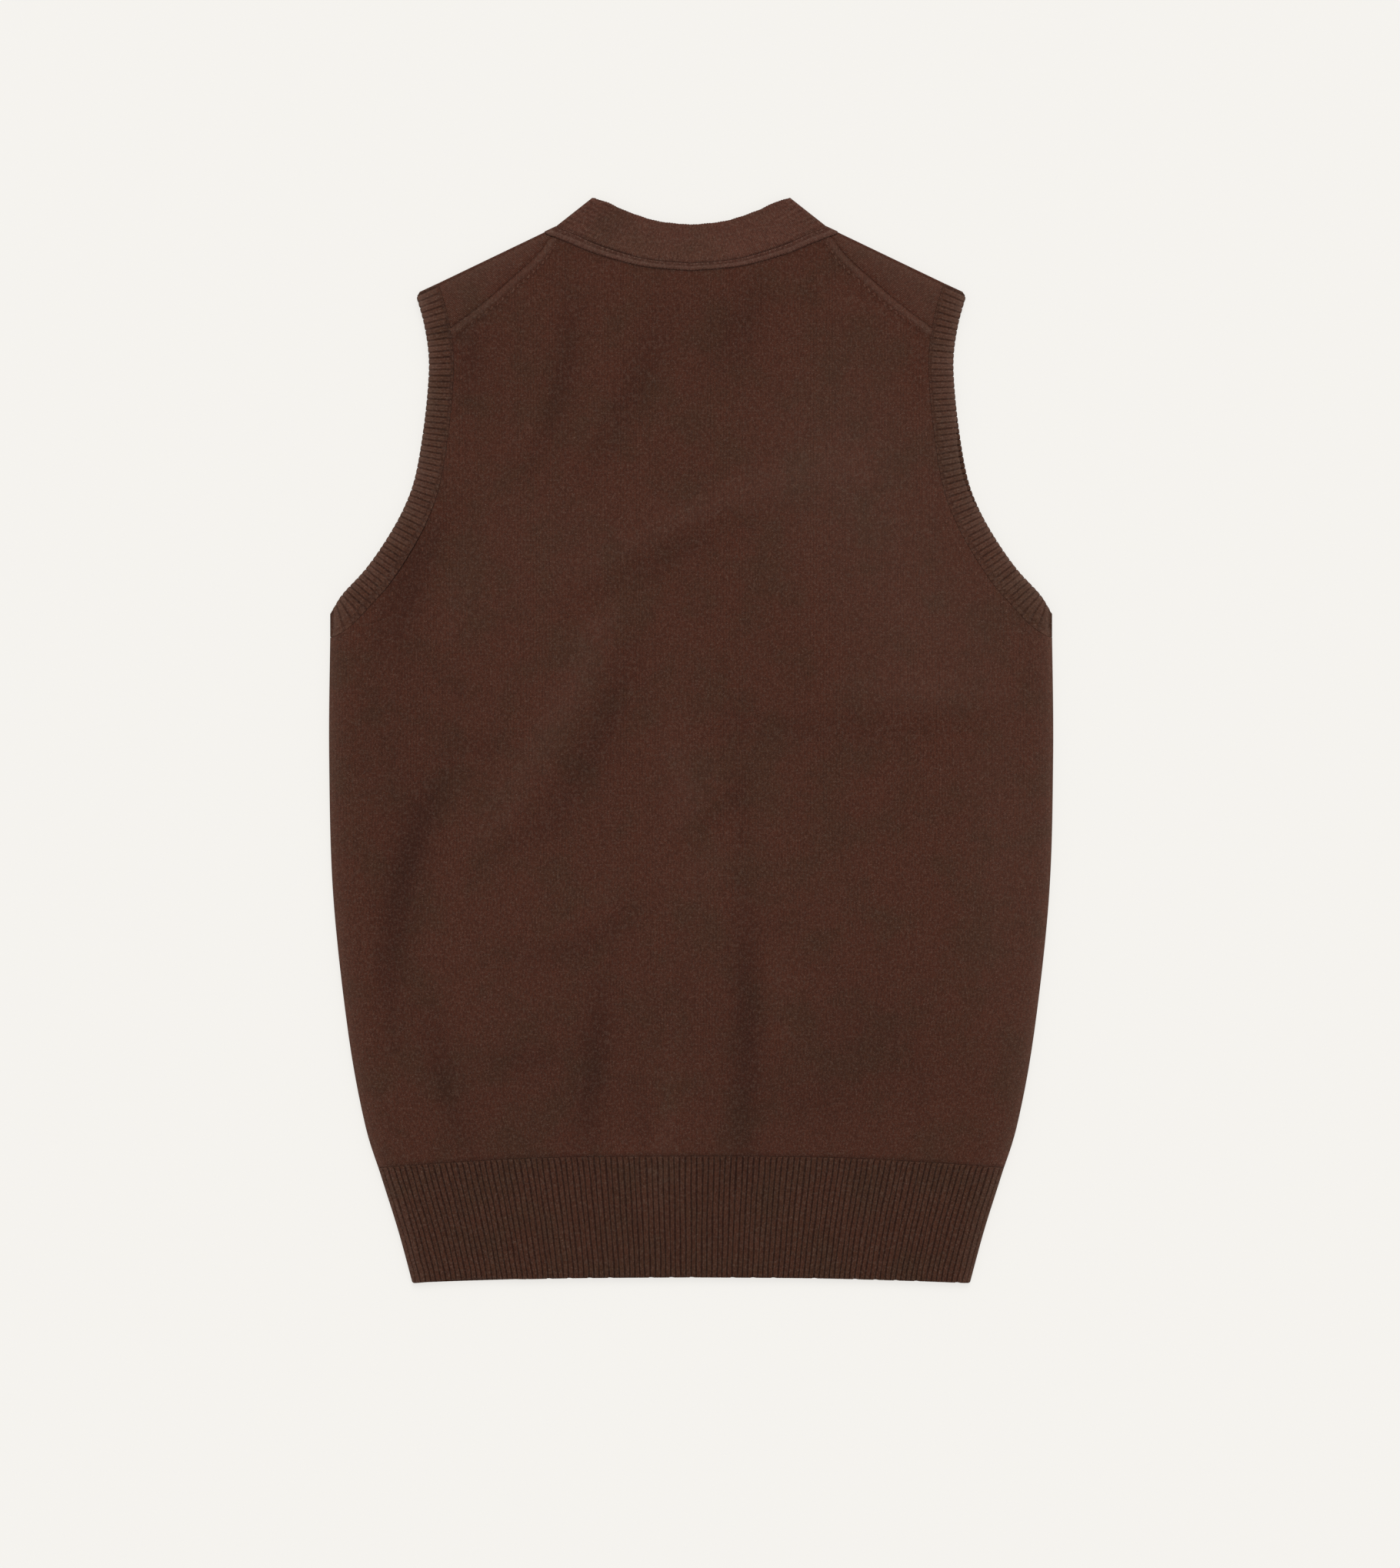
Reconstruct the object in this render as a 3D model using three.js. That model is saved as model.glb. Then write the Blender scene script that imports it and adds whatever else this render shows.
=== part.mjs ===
// Knitted sweater vest, laid flat with its front underneath and its back on top.
// Millimetres: X across the vest, Y from the hem to the neck, Z up from the surface that it lies on.
import * as THREE from "three";

// Cloth, and how its two layers lie
const CLOTH = 2;
const LAYER_GAP = 0.6;
const SEAM = 0.3;
const FOLD_IN = LAYER_GAP / 2;
const FOLD_OUT = FOLD_IN + CLOTH;
const FOLD_AXIS_Z = CLOTH + FOLD_IN;
const BACK_LEVEL = CLOTH + LAYER_GAP;

// How far the back layer stands off the front layer in its middle, the most that a crease lifts it, and
// the widths over which it comes down to its edges
const MIDDLE_LIFT = 2;
const MOST_LIFT = 3.8;
const FLAT_SIDE = 4;
const SIDE_SLOPE = 26;
const TOP_SLOPE = 34;
const HEM_SLOPE = 60;
const LIFT_TOP_Y = 322;

// Ribs of the hem and of the armhole bands
const HEM_RIBS = 108;
const HEM_RIB_RISE = 0.5;
const HEM_RIB_START = 3;
const ARMHOLE_RIBS = 59;
const ARMHOLE_RIB_RISE = 0.4;
const ARMHOLE_RIB_LENGTH = 13.6;
const SCALLOP = 0.45;

// Where the front layer shows past the back layer: at the right armhole, by height on the vest, and at the
// left of the hem, by distance from the middle
const ARMHOLE_PEEK = { from: 145, to: 212, most: 2.6 };
const HEM_PEEK = { from: 109, to: 181, most: 1.2 };

// Trims
const TRIM_RISE = 0.7;
const WELT_WIDTH = 6;
const WELT_EDGE = 1.2;
const WELT_RISE = 0.8;
const SEAM_END_BEND = 25;
const NECK_PEAK_ROUND = 0.9;
const UNDERARM_ROUND = 2.5;
const V_SEAM = 1.2;

// Colours of the wool
const BODY_BROWN = "#472c24";
const RIB_BROWN = "#3d271f";
const NECK_BROWN = "#4f342b";

// Half of the vest's width from the hem's corner up to the underarm
const SIDE = table("y half", [
  [-352.5, 181.5],
  [-319, 190.6],
  [-284, 201.6],
  [-249, 212.4],
  [-189, 223.3],
  [-99, 233],
  [-9, 235.5],
  [66.6, 234.8],
]);

// Where the hem rib ends, across one half: its lower edge and the line where the body starts
const HEM = table("half low high", [
  [0, -348.8, -270.3],
  [90, -349.4, -271.2],
  [160, -351, -274.5],
  [206, -352.5, -278],
]);

// Armhole band from the underarm to the shoulder tip: its free edge, its width, and the way that the
// width runs, in degrees from +X
const ARMHOLE = table("x y width heading", [
  [232.5, 84.3, 17.5, 270],
  [226, 94.4, 18, 226],
  [211, 110.8, 17.8, 218],
  [197, 130.8, 17.2, 211],
  [186, 150.8, 16.7, 204],
  [178.8, 170.8, 16.2, 196],
  [173.5, 200.8, 15.8, 187],
  [170.3, 230.8, 15.5, 182],
  [170, 250.8, 15.5, 175],
  [173, 270.8, 15.5, 165],
  [177.8, 288.2, 15.6, 155],
]);

// Neckline of one half: the band's free edge, the seam of its trim, and the trim's edge on the body
const NECK_BACK = table("freeX freeY seamX seamY edgeX edgeY", [
  [0, 334.3, 0, 309.5, 0, 304.5],
  [22, 336.7, 30, 312.5, 32, 307.5],
  [42, 343.1, 58, 320.6, 62, 315.7],
  [54, 348.6, 75, 328.1, 80, 323],
  [62.3, 351.2, 86.3, 332.3, 94.4, 328.5],
]);
const NECK_FRONT = table("freeX freeY seamX seamY edgeX edgeY", [
  [62.3, 351.2, 86.3, 332.3, 94.4, 328.5],
  [35, 250, 49.5, 214, 56.6, 212],
  [0, 150, 0, 75, 0, 53],
]);

// Seam on the back that joins the front's shoulder flap to the back panel
const SHOULDER_SEAM = table("x y", [
  [91.2, 326.9],
  [101, 314.2],
  [118, 298.6],
  [136, 283],
  [156.2, 267.6],
]);

// Ways out from the folds in plan, in degrees from +X
const SHOULDER_OUT = 65;
const NECK_SEAM_OUT = 58;
const NECK_PEAK_OUT = 52;
const NECK_FOLD_START = { x: 94.8, y: 327.9 };
const SHOULDER_SLOPE = 0.42;

// Soft creases of the back: three points along each, its half width, and its rise or fall
const CREASES = table("x0 y0 x1 y1 x2 y2 spread rise", [
  [-163, 150, -180, 115, -196, 62, 15, -1.7],
  [-148, 124, -146, 92, -162, 62, 12, 0.7],
  [-158, -24, -196, -70, -197, -188, 13, -2.1],
  [-170, -172, -166, -215, -146, -264, 11, -1.1],
  [-48, 88, -80, 20, -136, -64, 13, 1.4],
  [-38, 68, -52, 2, -95, -60, 12, -1.5],
  [112, 180, 30, 168, -62, 112, 12, 1.2],
  [36, 146, -14, 121, -80, 84, 11, -1.2],
  [96, 34, 150, 30, 196, 26, 12, 0.9],
  [20, 8, 112, 0, 205, 14, 12, -0.9],
  [34, -106, 41, -190, 28, -278, 12, -1.7],
  [52, -134, 61, -170, 57, -206, 13, 0.8],
  [34, -24, 24, -48, -8, -72, 11, -1.0],
  [-122, -140, -68, -144, -32, -106, 11, -1.0],
  [-58, -158, -62, -210, -73, -264, 11, -1.3],
  [-8, -196, -4, -250, -14, -308, 13, 0.8],
  [-82, 292, -73, 235, -110, 176, 11, -1.2],
  [-17, 278, -30, 235, -69, 170, 12, -1.3],
  [42, 302, 38, 270, 19, 238, 11, -0.9],
]);

// One object with named values for each row of a table.
function table(names, rows) {
  const keys = names.split(" ");
  return rows.map((row) => Object.fromEntries(keys.map((key, i) => [key, row[i]])));
}

// A smooth curve through the rows of a table: every column at t, from 0 at the first row to 1 at the last.
function along(rows, t) {
  const place = THREE.MathUtils.clamp(t, 0, 1) * (rows.length - 1);
  const first = Math.min(Math.floor(place), rows.length - 2);
  const near = [-1, 0, 1, 2].map((k) => rows[THREE.MathUtils.clamp(first + k, 0, rows.length - 1)]);
  const keys = Object.keys(rows[0]);
  return Object.fromEntries(
    keys.map((key) => [key, catmullRom(place - first, ...near.map((row) => row[key]))]),
  );
}

function catmullRom(f, before, start, end, after) {
  const startSlope = (end - before) / 2;
  const endSlope = (after - start) / 2;
  const cubic = 2 * start - 2 * end + startSlope + endSlope;
  const square = -3 * start + 3 * end - 2 * startSlope - endSlope;
  return ((cubic * f + square) * f + startSlope) * f + start;
}

// The curve's values where its rising column key reaches a value.
function where(rows, key, value) {
  let low = 0;
  let high = 1;
  for (let step = 0; step < 30; step++) {
    const middle = (low + high) / 2;
    if (along(rows, middle)[key] < value) low = middle;
    else high = middle;
  }
  return along(rows, low);
}

// Places t at even steps of length along the curve that point(t) gives.
function evenSteps(point, count) {
  const fine = 400;
  const lengths = [0];
  for (let i = 1; i <= fine; i++) {
    const a = point((i - 1) / fine);
    const b = point(i / fine);
    lengths.push(lengths[i - 1] + Math.hypot(b.x - a.x, b.y - a.y));
  }
  return range(count + 1).map((k) => {
    const wanted = (lengths[fine] * k) / count;
    const after = Math.max(1, lengths.findIndex((length) => length >= wanted - 1e-9));
    const part = (wanted - lengths[after - 1]) / (lengths[after] - lengths[after - 1]);
    return (after - 1 + part) / fine;
  });
}

function range(count) {
  return Array.from({ length: count }, (_, i) => i);
}

function mix(a, b, t) {
  return { x: a.x + (b.x - a.x) * t, y: a.y + (b.y - a.y) * t };
}

// A direction in plan from its angle in degrees.
function direction(degrees) {
  const angle = THREE.MathUtils.degToRad(degrees);
  return { x: Math.cos(angle), y: Math.sin(angle) };
}

// How far the front layer shows at a place in the stretch of a peek.
function peekAt(peek, place) {
  const share = (place - peek.from) / (peek.to - peek.from);
  return share > 0 && share < 1 ? peek.most * Math.sin(Math.PI * share) : 0;
}

// The point at a distance from a towards b.
function towards(a, b, distance) {
  return mix(a, b, distance / Math.hypot(b.x - a.x, b.y - a.y));
}

// Half of the outline's width at a height on the vest, up to the shoulder tip.
function outlineHalf(y) {
  if (y <= SIDE.at(-1).y) return where(SIDE, "y", y).half;
  return where(ARMHOLE, "y", y).x;
}

// Distance from a point to the middle line of a crease, and how far along the crease it lies.
function creaseReach(crease, x, y) {
  let nearest = { distance: Infinity, t: 0 };
  for (let step = 0; step <= 12; step++) {
    const t = step / 12;
    const a = mix({ x: crease.x0, y: crease.y0 }, { x: crease.x1, y: crease.y1 }, t);
    const b = mix({ x: crease.x1, y: crease.y1 }, { x: crease.x2, y: crease.y2 }, t);
    const point = mix(a, b, t);
    const distance = Math.hypot(x - point.x, y - point.y);
    if (distance < nearest.distance) nearest = { distance, t };
  }
  return nearest;
}

// How far the back layer stands off the front layer: none at its edges, more in its middle, and creased.
function lift(x, y) {
  const sideRoom = outlineHalf(y) - Math.abs(x);
  const shoulderFall = Math.max(0, Math.abs(x) - NECK_BACK.at(-1).freeX) * SHOULDER_SLOPE;
  const topRoom = LIFT_TOP_Y - shoulderFall - y;
  const hemRoom = y - HEM.at(-1).low;
  const edges = THREE.MathUtils.smoothstep(sideRoom, FLAT_SIDE, FLAT_SIDE + SIDE_SLOPE)
    * THREE.MathUtils.smoothstep(topRoom, 0, TOP_SLOPE)
    * THREE.MathUtils.smoothstep(hemRoom, 0, HEM_SLOPE);
  let height = MIDDLE_LIFT;
  for (const crease of CREASES) {
    const { distance, t } = creaseReach(crease, x, y);
    const fade = Math.sin(Math.PI * (0.12 + 0.76 * t));
    height += crease.rise * fade * Math.exp(-((distance / crease.spread) ** 2));
  }
  return edges * THREE.MathUtils.clamp(height, 0, MOST_LIFT);
}

// Cloth of the back layer at a place in plan. rise lifts its outer face, and inside moves its inner point.
function backCloth(x, y, rise = 0, inside = { x, y }) {
  return {
    outer: [x, y, BACK_LEVEL + lift(x, y) + CLOTH + rise],
    inner: [inside.x, inside.y, BACK_LEVEL + lift(inside.x, inside.y)],
  };
}

// Cloth of the front layer, which lies on its outer face.
function frontCloth(x, y) {
  return { outer: [x, y, 0], inner: [x, y, CLOTH] };
}

// Cloth that turns round a fold's axis: turn is 0 on the back layer and 180 on the front layer.
function foldedCloth(axis, out, turn, shift = 0) {
  const angle = THREE.MathUtils.degToRad(turn);
  const at = (radius) => [
    axis.x + out.x * radius * Math.sin(angle),
    axis.y + out.y * radius * Math.sin(angle),
    FOLD_AXIS_Z + shift + radius * Math.cos(angle),
  ];
  return { outer: at(FOLD_OUT), inner: at(FOLD_IN) };
}

// The rounded side edge of a panel, from its flat cloth to the side seam, for the side that sign gives.
function sideEdge(half, y, sign, layer) {
  const axis = { x: sign * (half - FOLD_OUT), y };
  const out = { x: sign, y: 0 };
  const halfSeam = layer === "back" ? SEAM / 2 : -SEAM / 2;
  const turns = layer === "back" ? [45, 90] : [135, 90];
  return turns.map((turn, i) => foldedCloth(axis, out, turn, (halfSeam * (i + 1)) / 2));
}

function mirrored(sheet) {
  const flip = ([x, y, z]) => [-x, y, z];
  return sheet.map((row) =>
    row.map(({ outer, inner }) => ({ outer: flip(outer), inner: flip(inner) })).reverse(),
  );
}

// Closes sheets of cloth into one mesh. A sheet is a grid of cloth points, seen from outside with its
// columns to the right and its rows upwards. Points at one place are shared, and open edges get a rim.
function clothMesh(name, colour, sheets) {
  const places = [];
  const numbers = new Map();
  const numberOf = (place) => {
    const key = place.map((value) => Math.round(value * 1000)).join(" ");
    if (!numbers.has(key)) {
      numbers.set(key, places.length / 3);
      places.push(...place);
    }
    return numbers.get(key);
  };
  const triangles = [];
  const addTriangle = (a, b, c) => {
    if (a !== b && b !== c && c !== a) triangles.push(a, b, c);
  };
  const addQuad = (a, b, c, d) => {
    addTriangle(a, b, c);
    addTriangle(a, c, d);
  };
  const edges = new Map();
  for (const sheet of sheets) {
    const grid = sheet.map((row) =>
      row.map((cloth) => ({ outer: numberOf(cloth.outer), inner: numberOf(cloth.inner) })),
    );
    for (let r = 0; r + 1 < grid.length; r++) {
      for (let c = 0; c + 1 < grid[r].length; c++) {
        const corners = [grid[r][c], grid[r][c + 1], grid[r + 1][c + 1], grid[r + 1][c]];
        addQuad(...corners.map((corner) => corner.outer));
        addQuad(...corners.map((corner) => corner.inner).reverse());
        corners.forEach((corner, i) => {
          const next = corners[(i + 1) % 4];
          edges.set(corner.outer + ">" + next.outer, [corner, next]);
        });
      }
    }
  }
  for (const [from, to] of edges.values()) {
    if (!edges.has(to.outer + ">" + from.outer)) addQuad(to.outer, from.outer, from.inner, to.inner);
  }
  const geometry = new THREE.BufferGeometry();
  geometry.setAttribute("position", new THREE.Float32BufferAttribute(places, 3));
  geometry.setIndex(triangles);
  geometry.computeVertexNormals();
  const material = new THREE.MeshStandardMaterial({ color: colour, roughness: 0.95, metalness: 0 });
  const mesh = new THREE.Mesh(geometry, material);
  mesh.name = name;
  return mesh;
}

// The band's width at a place along the armhole: from its free edge to its seam with the body.
function armholeSection(t) {
  const edge = along(ARMHOLE, t);
  const across = direction(edge.heading);
  const seam = { x: edge.x + across.x * edge.width, y: edge.y + across.y * edge.width };
  return { edge, seam };
}

// Half of the body's width between the armhole bands, at a height on the vest.
function armholeBodyHalf(y) {
  let low = 0;
  let high = 1;
  for (let step = 0; step < 30; step++) {
    const middle = (low + high) / 2;
    if (armholeSection(middle).seam.y < y) low = middle;
    else high = middle;
  }
  return armholeSection(low).seam.x - 1.2 * SEAM;
}

// Heights of a panel's rows at its side: even below the underarm, and closer along the armhole.
function panelRowHeights(low, high, sideRows, armholeRows) {
  const underarm = SIDE.at(-1).y;
  const below = range(sideRows + 1).map((i) => low + ((underarm - low) * i) / sideRows);
  const above = range(armholeRows)
    .map((i) => ((i + 1) / armholeRows) ** 1.4)
    .map((share) => underarm + (high - underarm) * share);
  return [...below, ...above];
}

// Back panel: from the hem rib up to the armholes, the shoulder seams and the neck trim.
function backPanel() {
  const neckColumns = 8;
  const shoulderColumns = 5;
  const sideRows = 15;
  const armholeRows = 14;
  const seamStart = SHOULDER_SEAM[0];
  const seamEnd = armholeBodyHalf(SHOULDER_SEAM.at(-1).y) - FOLD_OUT;
  const narrowed = (seamEnd - seamStart.x) / (SHOULDER_SEAM.at(-1).x - seamStart.x);
  const seamTop = (x) => where(SHOULDER_SEAM, "x", x + SEAM).y - 1.3 * SEAM;
  const topOfColumn = (column) => {
    if (column < neckColumns) {
      const neck = where(NECK_BACK, "edgeX", (seamStart.x * column) / neckColumns);
      return { x: neck.edgeX, y: neck.edgeY - 1.5 * SEAM };
    }
    const seam = along(SHOULDER_SEAM, (column - neckColumns) / shoulderColumns);
    const x = seamStart.x + (seam.x - seamStart.x) * narrowed;
    return { x, y: seamTop(x) };
  };
  const tops = range(neckColumns + shoulderColumns + 1).map(topOfColumn);
  const low = HEM.at(-1).high + SEAM / 2;
  const high = tops.at(-1).y;
  const heights = panelRowHeights(low, high - WELT_WIDTH - WELT_EDGE, sideRows, armholeRows);
  heights.push(high - WELT_WIDTH, high - WELT_EDGE, high);

  const halfRow = (height) => {
    const share = (height - low) / (high - low);
    const onSide = height <= SIDE.at(-1).y;
    const half = onSide ? outlineHalf(height) : armholeBodyHalf(height);
    const flatHalf = half - FOLD_OUT;
    const welt = height >= high - WELT_WIDTH && height < high;
    const flat = tops.map((top, column) => {
      const x = (top.x / tops.at(-1).x) * flatHalf;
      const bottom = where(HEM, "half", (top.x / tops.at(-1).x) * HEM.at(-1).half).high + SEAM / 2;
      const y = bottom + (top.y - bottom) * share;
      const rise = welt && column > neckColumns ? WELT_RISE : 0;
      return backCloth(x, y, rise);
    });
    const nearSeam = THREE.MathUtils.smoothstep(height, high - SEAM_END_BEND, high);
    const level = [half - FOLD_OUT / 2, half].map((x) =>
      backCloth(x, height - (high - seamTop(x)) * nearSeam),
    );
    const edge = onSide ? sideEdge(half, height, 1, "back") : level;
    return [...flat, ...edge];
  };
  const right = heights.map(halfRow);
  return clothMesh("back_panel", BODY_BROWN, [right, mirrored(right)]);
}

// Hem rib of the back: ridges with narrow valleys between them, over a plain inner face.
function backHemRib() {
  const steps = HEM_RIBS * 3;
  const innerSteps = 9;
  const rows = [
    { share: 0, ribbed: false },
    { share: HEM_RIB_START / (HEM[0].high - HEM[0].low), ribbed: true },
    { share: 0.5, ribbed: true },
    { share: 1, ribbed: true },
  ];
  const sheet = rows.map(({ share, ribbed }) => {
    const place = (step) => {
      const u = (step / steps) * 2 - 1;
      const hem = where(HEM, "half", Math.abs(u) * HEM.at(-1).half);
      const low = hem.low + peekAt(HEM_PEEK, -u * SIDE[0].half);
      const y = hem.high - SEAM / 2 + (low - hem.high + SEAM / 2) * share;
      return { u, y };
    };
    const sideY = place(steps).y;
    const half = outlineHalf(sideY);
    const flatHalf = half - FOLD_OUT;
    const flat = range(steps + 1).map((step) => {
      const { u, y } = place(step);
      const inside = place(Math.round(step / innerSteps) * innerSteps);
      const ridge = step % 3 === 0 ? -1 : 1;
      const rise = ribbed ? ridge * HEM_RIB_RISE : 0;
      return backCloth(u * flatHalf, y, rise, { x: inside.u * flatHalf, y: inside.y });
    });
    const left = sideEdge(half, sideY, -1, "back").reverse();
    const right = sideEdge(half, sideY, 1, "back");
    return [...left, ...flat, ...right];
  });
  return clothMesh("back_hem_rib", RIB_BROWN, [sheet.reverse()]);
}

// Hem rib of the front, which lies flat on its outer face.
function frontHemRib() {
  const columns = 8;
  const shares = [1, 0.5, 0];
  const half = shares.map((share) => {
    const flat = range(columns + 1).map((column) => {
      const hem = where(HEM, "half", (column / columns) * HEM.at(-1).half);
      const y = hem.high - SEAM / 2 + (hem.low - hem.high + SEAM / 2) * share;
      return { part: column / columns, y };
    });
    const sideY = flat.at(-1).y;
    const width = outlineHalf(sideY);
    const cloth = flat.map(({ part, y }) => frontCloth(part * (width - FOLD_OUT), y));
    return [...cloth, ...sideEdge(width, sideY, 1, "front")].reverse();
  });
  return clothMesh("front_hem_rib", RIB_BROWN, [half, mirrored(half)]);
}

// Front panel: from the hem rib up past the V neck, over the shoulder folds and down to the back's seams.
function frontPanel() {
  const columns = 6;
  const sideRows = 10;
  const armholeRows = 16;
  const low = HEM.at(-1).high + SEAM / 2;
  const out = direction(SHOULDER_OUT);
  const tip = towards(armholeSection(1).seam, NECK_FOLD_START, SEAM);
  const heights = panelRowHeights(low, tip.y, sideRows, armholeRows);
  const vPoint = { x: 0, y: NECK_FRONT.at(-1).edgeY - V_SEAM };
  const neckEdge = (t) => {
    const neck = along(NECK_FRONT, 1 - t);
    return { x: neck.edgeX + SEAM * (1 - t), y: neck.edgeY - V_SEAM * (1 - t) };
  };

  const hemBend = (share) => {
    const straight = HEM[0].high + (HEM.at(-1).high - HEM[0].high) * share;
    return where(HEM, "half", HEM.at(-1).half * share).high - straight;
  };

  const front = heights.map((height, r) => {
    const onSide = r <= sideRows;
    const half = onSide ? outlineHalf(height) : armholeBodyHalf(height);
    const flatHalf = half - FOLD_OUT;
    const middle = onSide
      ? mix({ x: 0, y: HEM[0].high + SEAM / 2 }, vPoint, r / sideRows)
      : neckEdge((r - sideRows) / armholeRows);
    const last = r === heights.length - 1;
    const side = last ? tip : { x: flatHalf, y: height };
    const start = last ? NECK_FOLD_START : middle;
    const cloth = range(columns + 1).map((column) => {
      const point = mix(start, side, column / columns);
      const bend = hemBend(column / columns) * Math.max(0, 1 - r / sideRows);
      return frontCloth(point.x, point.y + bend);
    });
    const between = mix(side, { x: half, y: height }, 0.5);
    const flatEdge = last
      ? [0.5, 0.8].map((t) => mix(tip, armholeSection(1).seam, t)).map((p) => frontCloth(p.x, p.y))
      : [frontCloth(between.x, between.y), frontCloth(half, height)];
    const edge = onSide ? sideEdge(half, height, 1, "front") : flatEdge;
    return [...cloth, ...edge].reverse();
  });

  const axisPoints = front.at(-1).map(({ outer }) => ({ x: outer[0], y: outer[1] }));
  const fold = [150, 120, 90, 60, 30].map((turn) =>
    axisPoints.map((axis) => foldedCloth(axis, out, turn)),
  );
  const flap = [0, 0.35, 0.7, 1].map((t) =>
    axisPoints.map((axis) => {
      const share = (axis.x - axisPoints.at(-1).x) / (axisPoints[0].x - axisPoints.at(-1).x);
      const end = mix(axisPoints[0], SHOULDER_SEAM.at(-1), t);
      const widening = t > 0 ? armholeBodyHalf(end.y) - end.x : 0;
      const point = mix(axis, along(SHOULDER_SEAM, share), t);
      return backCloth(point.x + widening * share, point.y);
    }),
  );
  const right = [...front, ...fold, ...flap];
  return clothMesh("front_panel", BODY_BROWN, [right, mirrored(right)]);
}

// Armhole band: a ring folded flat at the shoulder tip and at the underarm, ribbed on its back half.
function armholeBand(name, side) {
  const steps = ARMHOLE_RIBS * 2;
  const frontSteps = 18;
  const innerSteps = 6;
  const shares = [0, ARMHOLE_RIB_LENGTH, ARMHOLE_RIB_LENGTH + 0.8];
  const sheet = [...shares, Infinity].map((distance, row) => {
    const ribbed = row < 2;
    const place = (t, spread) => {
      const { edge, seam } = armholeSection(t);
      const width = Math.min(distance, edge.width - SEAM / 2) - (row === 0 ? spread : 0);
      return towards(edge, seam, width);
    };
    const insets = side === "right" && row === 0;
    const inset = (t) => (insets ? peekAt(ARMHOLE_PEEK, armholeSection(t).edge.y) : 0);
    const back = evenSteps((t) => armholeSection(t).edge, steps).map((t, step, all) => {
      const ridge = step % 2 === 1 ? 1 : -1;
      const inside = all[Math.min(steps, Math.round(step / innerSteps) * innerSteps)];
      const point = place(t, ridge * SCALLOP - inset(t));
      const rise = ribbed ? ridge * ARMHOLE_RIB_RISE : 0;
      return backCloth(point.x, point.y, rise, place(inside, -inset(inside)));
    });
    const front = evenSteps((t) => armholeSection(t).edge, frontSteps)
      .reverse()
      .map((t) => place(t, 0))
      .map((point) => frontCloth(point.x, point.y));
    const turns = [36, 72, 108, 144];
    const corner = row === 0 ? UNDERARM_ROUND : 0;
    const roundCorner = (turn) => corner * Math.sin(THREE.MathUtils.degToRad(turn));
    const foldAt = (t, out, turn) => {
      const { seam } = armholeSection(t);
      return foldedCloth(towards(place(t, 0), seam, roundCorner(turn)), out, turn);
    };
    const shoulder = turns.map((turn) => foldAt(1, direction(SHOULDER_OUT), turn));
    const underarm = turns.toReversed().map((turn) => foldAt(0, { x: 1, y: 0 }, turn));
    return [...back, ...shoulder, ...front, ...underarm, back[0]];
  });
  return clothMesh(name, RIB_BROWN, [side === "left" ? mirrored(sheet) : sheet]);
}

// A trim of the neck between two edges, as columns of the tables name them: over the back, folded at the
// side of the neck, and down the front's V. rows gives each row's share of the width and its rise.
function neckRing(name, colour, inner, outer, rows) {
  const backSteps = 12;
  const frontSteps = 10;
  const turns = [30, 60, 90, 120, 150];
  const section = (tableRows, t) => {
    const neck = along(tableRows, t);
    const from = { x: neck[inner + "X"], y: neck[inner + "Y"] };
    const to = { x: neck[outer + "X"], y: neck[outer + "Y"] };
    return { from: towards(from, to, SEAM / 2), to: towards(to, from, SEAM / 2) };
  };
  const half = rows.map(({ share, rise, out, corner = 0 }) => {
    const point = (tableRows, t, inwards = 0) => {
      const { from, to } = section(tableRows, t);
      const width = Math.hypot(to.x - from.x, to.y - from.y);
      return towards(from, to, width * share - inwards);
    };
    const back = range(backSteps + 1)
      .map((step) => point(NECK_BACK, step / backSteps))
      .map(({ x, y }) => backCloth(x, y, rise));
    const fold = turns.map((turn) => {
      const inwards = corner * Math.sin(THREE.MathUtils.degToRad(turn));
      return foldedCloth(point(NECK_BACK, 1, inwards), direction(out), turn);
    });
    const front = range(frontSteps + 1)
      .map((step) => point(NECK_FRONT, step / frontSteps))
      .map(({ x, y }) => frontCloth(x, y));
    return [...back, ...fold, ...front];
  });
  return clothMesh(name, colour, [half, mirrored(half)]);
}

function neckband() {
  return neckRing("neckband", NECK_BROWN, "seam", "free", [
    { share: 0, rise: 0, out: NECK_SEAM_OUT },
    { share: 0.5, rise: 0, out: (NECK_SEAM_OUT + NECK_PEAK_OUT) / 2 },
    { share: 1, rise: 0, out: NECK_PEAK_OUT, corner: NECK_PEAK_ROUND },
  ]);
}

function neckTrim() {
  return neckRing("neck_trim", NECK_BROWN, "edge", "seam", [
    { share: 0, rise: 0, out: SHOULDER_OUT },
    { share: 0.25, rise: TRIM_RISE, out: SHOULDER_OUT },
    { share: 0.75, rise: TRIM_RISE, out: SHOULDER_OUT },
    { share: 1, rise: 0, out: NECK_SEAM_OUT },
  ]);
}

const vest = new THREE.Group();
vest.name = "sweater_vest";
vest.add(
  frontHemRib(),
  frontPanel(),
  backHemRib(),
  backPanel(),
  armholeBand("armhole_band_left", "left"),
  armholeBand("armhole_band_right", "right"),
  neckTrim(),
  neckband(),
);

export default vest;
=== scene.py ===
import math

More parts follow.
